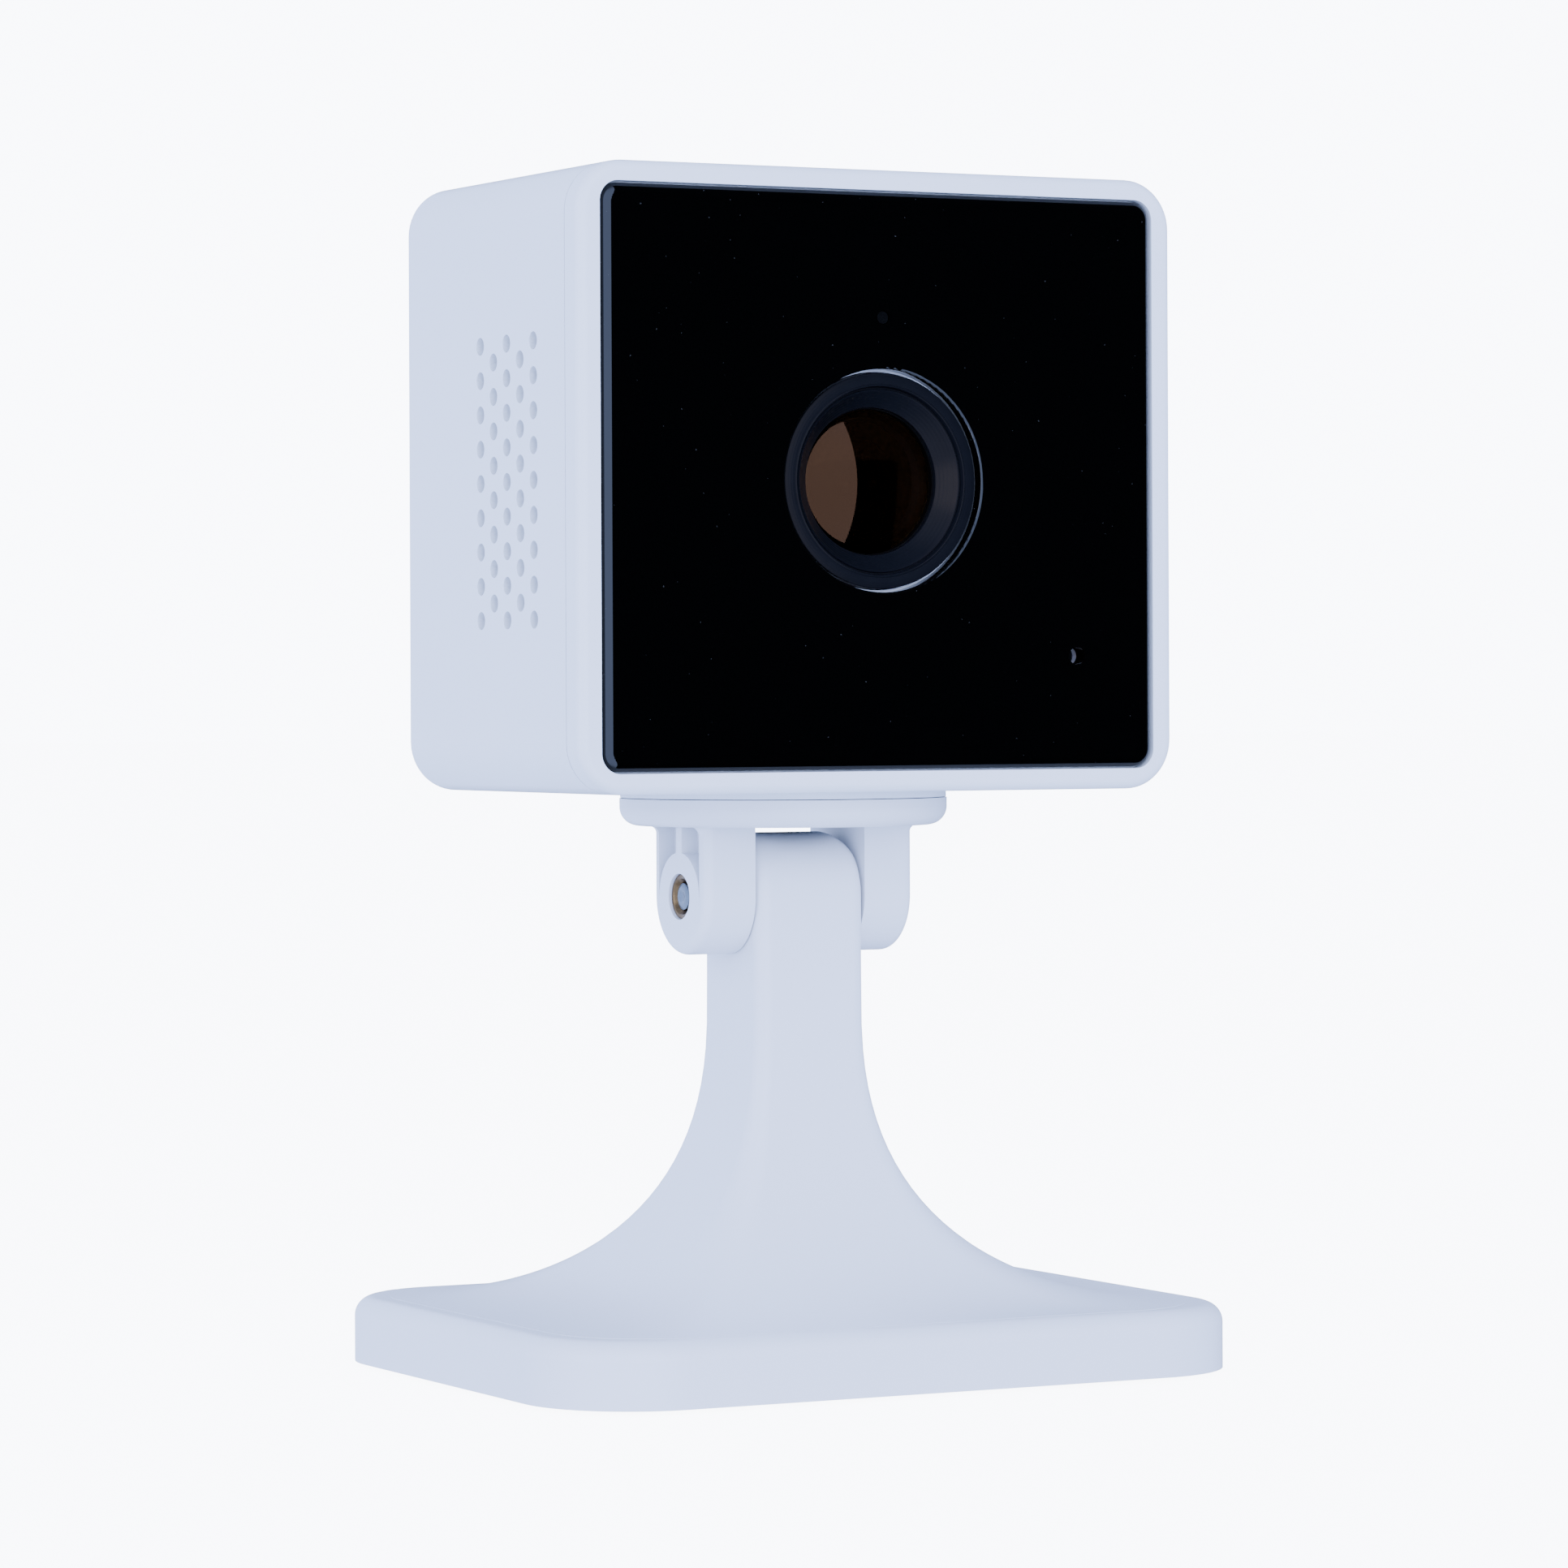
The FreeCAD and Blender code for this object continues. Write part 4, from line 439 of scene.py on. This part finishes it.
# %% [markdown]
# ## The brass insert
# A threaded brass bush is pressed into the left ear. Its mouth has a wide chamfer that
# catches the light as a bright crescent. The profile goes out along the bore, round the
# chamfered mouth and back along the outside, so that it closes on itself.

# %% Brass insert with a chamfered mouth
insert_low, insert_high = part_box("tilt_insert")
insert_r = (insert_high.z - insert_low.z) / 2
bore_r = 1.26 * MM
insert_long = insert_high.x - insert_low.x
mouth = Vector((insert_low.x, 0, PIVOT.z))

insert_profile = [
    (0.50 * MM, bore_r), (0.12 * MM, bore_r + 0.34 * MM), (0.03 * MM, bore_r + 0.42 * MM),
    (0.0, bore_r + 0.50 * MM), (0.0, insert_r - 0.10 * MM), (0.10 * MM, insert_r),
    (insert_long - 0.1 * MM, insert_r), (insert_long, insert_r - 0.1 * MM),
    (insert_long, bore_r),
]
print("insert", round(insert_long / MM, 2), "mm long, radius", round(insert_r / MM, 2), "mm")
brass_insert = spin("brass_insert", insert_profile, mouth, (1, 0, 0), closed=True)
brass_insert.data.materials.append(BRASS.material)
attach(brass_insert, "swivel")
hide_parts("tilt_insert")

# %% [markdown]
# ## The screw's end
# The tilt screw ends just inside the insert. Its end is chamfered where the thread starts,
# with a shallow pit left by the lathe's centre. This cap sits on the plain end.

# %% Chamfered screw end
tip = Vector((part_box("tilt_screw")[0].x, 0, PIVOT.z))
cap_profile = [(-0.01 * MM, 1.17 * MM), (-0.10 * MM, 1.02 * MM), (-0.16 * MM, 0.80 * MM),
               (-0.17 * MM, 0.58 * MM), (-0.12 * MM, 0.46 * MM), (-0.03 * MM, 0.20 * MM),
               (-0.02 * MM, 0.02 * MM)]
screw_end = spin("screw_end", cap_profile, tip, (1, 0, 0))
screw_end.data.materials.append(STEEL.material)
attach(screw_end, "swivel")

# %% [markdown]
# ## The ring round the lens
# This is one dark moulding. Its flat face ends in a fine bead, then a groove and a second
# lip, which read as two thin light lines, and then a cone runs in to the glass. Distances
# are in millimetres behind the white rim, as they would be on a lathe drawing.

# %% Trim ring with its bead, groove and cone
ring_profile = [(3.63, 11.2), (2.63, 11.2), (2.63, 9.62), (0.62, 9.62), (0.54, 9.59),
                (0.50, 9.52), (0.50, 8.62), (0.42, 8.55), (0.39, 8.49), (0.42, 8.43),
                (0.56, 8.38), (0.90, 8.32), (0.90, 8.20), (0.74, 8.14), (0.70, 8.09),
                (0.74, 8.03), (0.86, 7.96), (2.26, 6.66), (2.32, 6.61), (2.40, 6.60),
                (2.75, 6.60), (2.75, 7.10), (3.63, 7.10)]
LENS_STEPS = 160


def turned_on_lens(name, profile, node, material):
    """A closed profile in millimetres behind the rim, turned about the lens axis."""
    scaled = [(back * MM, radius * MM) for back, radius in profile]
    piece = spin(name, scaled, (0, FRONT, LENS.z), (0, 1, 0), LENS_STEPS, closed=True)
    piece.data.materials.append(material)
    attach(piece, "head")
    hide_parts(node)
    return piece


turned_on_lens("lens_ring", ring_profile, "lens_trim_ring", RING.material)

# %% [markdown]
# ## Inside the lens
# Behind the front glass, black steps close in on a small stop. They keep stray light off
# the sensor, and from outside they are what makes the glass look deep. Behind the stop a
# small hollow glass catches one bright sliver of the room.

# %% Barrel with its steps
barrel_profile = [(20.0, 5.95), (9.0, 5.95), (9.0, 7.0), (2.75, 7.0), (2.75, 6.47),
                  (5.00, 6.47), (5.00, 5.60), (5.25, 5.60), (5.25, 4.60), (5.50, 4.60),
                  (5.50, 3.45), (5.62, 3.40), (5.95, 3.40), (5.95, 2.30), (6.15, 2.25),
                  (6.30, 1.02), (6.36, 1.00), (6.60, 1.00), (6.60, 4.32), (20.0, 4.32)]
turned_on_lens("stepped_barrel", barrel_profile, "lens_barrel",
               BARREL.material)

# %% [markdown]
# ## The hollow glass
# Its front is dished, as part of a ball, and the rest is a plain disc. It is the mirror
# image of the front glass: light from the left shows on its right.

# %% Dished middle glass
DISH_R = 2.6
DISH_REACH = 1.3
DISH_FLOOR = 7.15
DISH_STEPS = 12
NEARLY_ON_AXIS = 0.01
dish = []
for step in range(DISH_STEPS + 1):
    radius = DISH_REACH * step / DISH_STEPS
    dish.append((DISH_FLOOR - DISH_R + math.sqrt(DISH_R ** 2 - radius ** 2),
                 max(radius, NEARLY_ON_AXIS)))
dish += [(6.80, 1.40), (6.80, 4.30), (9.90, 4.30), (9.90, NEARLY_ON_AXIS)]
glass_disc = spin("middle_glass", [(back * MM, radius * MM) for back, radius in dish],
                  (0, FRONT, LENS.z), (0, 1, 0))
glass_disc.data.materials.append(INNER_GLASS.material)
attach(glass_disc, "head")
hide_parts("middle_lens")
print("lens detail:", len(ring_profile), "and", len(barrel_profile), "points turned")

# %% [markdown]
# ## A plain studio
# The camera stands on a white sweep under soft light. A large softbox ahead lights the
# front, a narrow one on the left models the casing, and a bright, slightly blue surround
# keeps the shadows light. Gloss black needs something dark to reflect, or it turns grey,
# so a black card stands where the front panel's reflection looks. Only mirror-like
# surfaces can see it.

# %% Surround
world = bpy.data.worlds.new("studio")
bpy.context.scene.world = world
world.use_nodes = True
room = Graph(world.node_tree)
looking = room.node("ShaderNodeTexCoord", output="Generated")
climb = room.axis(looking, "Z")
toward_pole = (climb * climb) ** 4
surround = world.node_tree.nodes["Background"]
WALL_COLOR = (0.72, 0.92, 1.55)
POLE_COLOR = (0.08, 0.10, 0.16)
WORLD_STRENGTH = 2.6
walls = room.blend(toward_pole, WALL_COLOR, POLE_COLOR)
world.node_tree.links.new(walls.socket, surround.inputs["Color"])
surround.inputs["Strength"].default_value = WORLD_STRENGTH
print("surround strength", WORLD_STRENGTH)

# %% [markdown]
# ## Floor
# The floor is a light table: a sheet of white paper lit from below, which makes the pale
# ground of a catalogue picture. It is left out of mirrors and of bounced light, so that it
# neither shows in the lens nor washes out the underside.

# %% Floor
def part_of_room(name, corners, faces):
    mesh = bpy.data.meshes.new(name)
    mesh.from_pydata(corners, [], faces)
    thing = bpy.data.objects.new(name, mesh)
    bpy.context.scene.collection.objects.link(thing)
    return thing


REACH = 6.0
PAPER_GLOW = 8.0
floor = part_of_room("floor", [(-REACH, -REACH, 0), (REACH, -REACH, 0), (REACH, REACH, 0),
                               (-REACH, REACH, 0)], [(0, 1, 2, 3)])
paper = Finish("light_table", (0.86, 0.86, 0.85), 0.9, Emission_Strength=PAPER_GLOW)
paper.shader.inputs["Emission Color"].default_value = (1, 1, 1, 1)
paper.feed("Roughness", 0.86 + 0.08 * paper.noise(3 * MM, 2))
floor.data.materials.append(paper.material)
floor.visible_glossy = False
floor.visible_diffuse = False
print("floor", 2 * REACH, "m across")

# %% [markdown]
# ## Backdrop
# Four upright sheets of the same paper close the view on every side. They are seen by
# the viewpoint only, and cast neither light nor shadow on the piece.

# %% Backdrop
backdrop = part_of_room("backdrop", [(-REACH, REACH, -1), (REACH, REACH, -1),
                                     (REACH, REACH, REACH), (-REACH, REACH, REACH),
                                     (-REACH, -REACH, -1), (-REACH, -REACH, REACH),
                                     (REACH, -REACH, -1), (REACH, -REACH, REACH)],
                        [(0, 1, 2, 3), (0, 3, 5, 4), (1, 6, 7, 2), (4, 5, 7, 6)])
backdrop.data.materials.append(paper.material)
for unseen in ("visible_glossy", "visible_diffuse", "visible_shadow"):
    setattr(backdrop, unseen, False)
print("backdrop", REACH, "m high")

# %% [markdown]
# ## Black card
# A curved wall of black card stands on the right, where a mirror on the front of the
# camera would look. It is tall, so that the whole panel and the right half of the lens
# stay black, and it is seen in mirrors only.

# %% Black card, a curved wall on the right
CARD_R = 0.75
CARD_HALF_HIGH = 4.0
CARD_START = 13  # degrees from straight ahead
CARD_STEP = 8
turns = [math.radians(CARD_START + CARD_STEP * step) for step in range(20)]
rim = [(CARD_R * math.sin(turn), -CARD_R * math.cos(turn)) for turn in turns]
corners = [(x, y, z) for x, y in rim for z in (-CARD_HALF_HIGH, CARD_HALF_HIGH)]
card = part_of_room("black_card", corners,
                    [(2 * i, 2 * i + 1, 2 * i + 3, 2 * i + 2) for i in range(len(rim) - 1)])
felt = Finish("black_felt", (0.004, 0.004, 0.004), 0.95, Specular_IOR_Level=0.0)
felt.feed("Roughness", 0.9 + 0.05 * felt.noise(2 * MM))
card.data.materials.append(felt.material)
card.visible_camera = False
card.visible_diffuse = False
card.visible_shadow = False
print("black card", len(rim), "uprights")

# %% [markdown]
# ## Lights
# Two softboxes add direction to the even surround. The one ahead is kept out of mirrors,
# or it would show on the gloss black. Both are slightly blue, as the surround is, so that
# the cool cast comes from the light and not from the plastic.

# %% Lights
COOL_WHITE = (0.86, 0.94, 1.2)


def softbox(name, place, size, power, aim=(0, 0, 0.06)):
    light = bpy.data.lights.new(name, "AREA")
    light.shape = "RECTANGLE"
    light.size, light.size_y = size
    light.energy = power
    light.color = COOL_WHITE
    lamp = bpy.data.objects.new(name, light)
    lamp.location = place
    toward = Vector(aim) - Vector(place)
    lamp.rotation_euler = toward.to_track_quat("-Z", "Y").to_euler()
    bpy.context.scene.collection.objects.link(lamp)
    return lamp


softbox("side_softbox", (-1.06, -0.28, 0.20), (0.25, 0.9), 3.5)
fill = softbox("front_softbox", (-0.3, -1.25, 0.35), (0.8, 1.0), 14.0)
fill.visible_glossy = False
print("lights:", len(bpy.data.lights))

# %% [markdown]
# ## The viewpoint
# A long lens from the front left, a little above the lower half of the head. The lens is
# shifted down a little so that the uprights stay upright.

# %% Camera
FOCAL_LENGTH = 136.81  # millimetres, on a frame 36 wide
FRAME_WIDE = 36
SHIFT_X, SHIFT_Y = 0.0191, -0.0628
VIEW_PLACE = (-0.25411, -0.48414, 0.06251)
BEARING, LEVEL, ROLL = -27.42, 90, -0.25  # degrees
view = bpy.data.cameras.new("view")
view.lens = FOCAL_LENGTH
view.sensor_width = FRAME_WIDE
view.shift_x = SHIFT_X
view.shift_y = SHIFT_Y
view.clip_start = 10 * MM
camera = bpy.data.objects.new("view", view)
bpy.context.scene.collection.objects.link(camera)
bearing = Matrix.Rotation(math.radians(BEARING), 4, "Z")
upright = Matrix.Rotation(math.radians(LEVEL), 4, "X")
roll = Matrix.Rotation(math.radians(ROLL), 4, "Z")
place = Matrix.Translation(VIEW_PLACE)
camera.matrix_world = place @ bearing @ upright @ roll
bpy.context.scene.camera = camera
print("viewpoint", VIEW_PLACE)
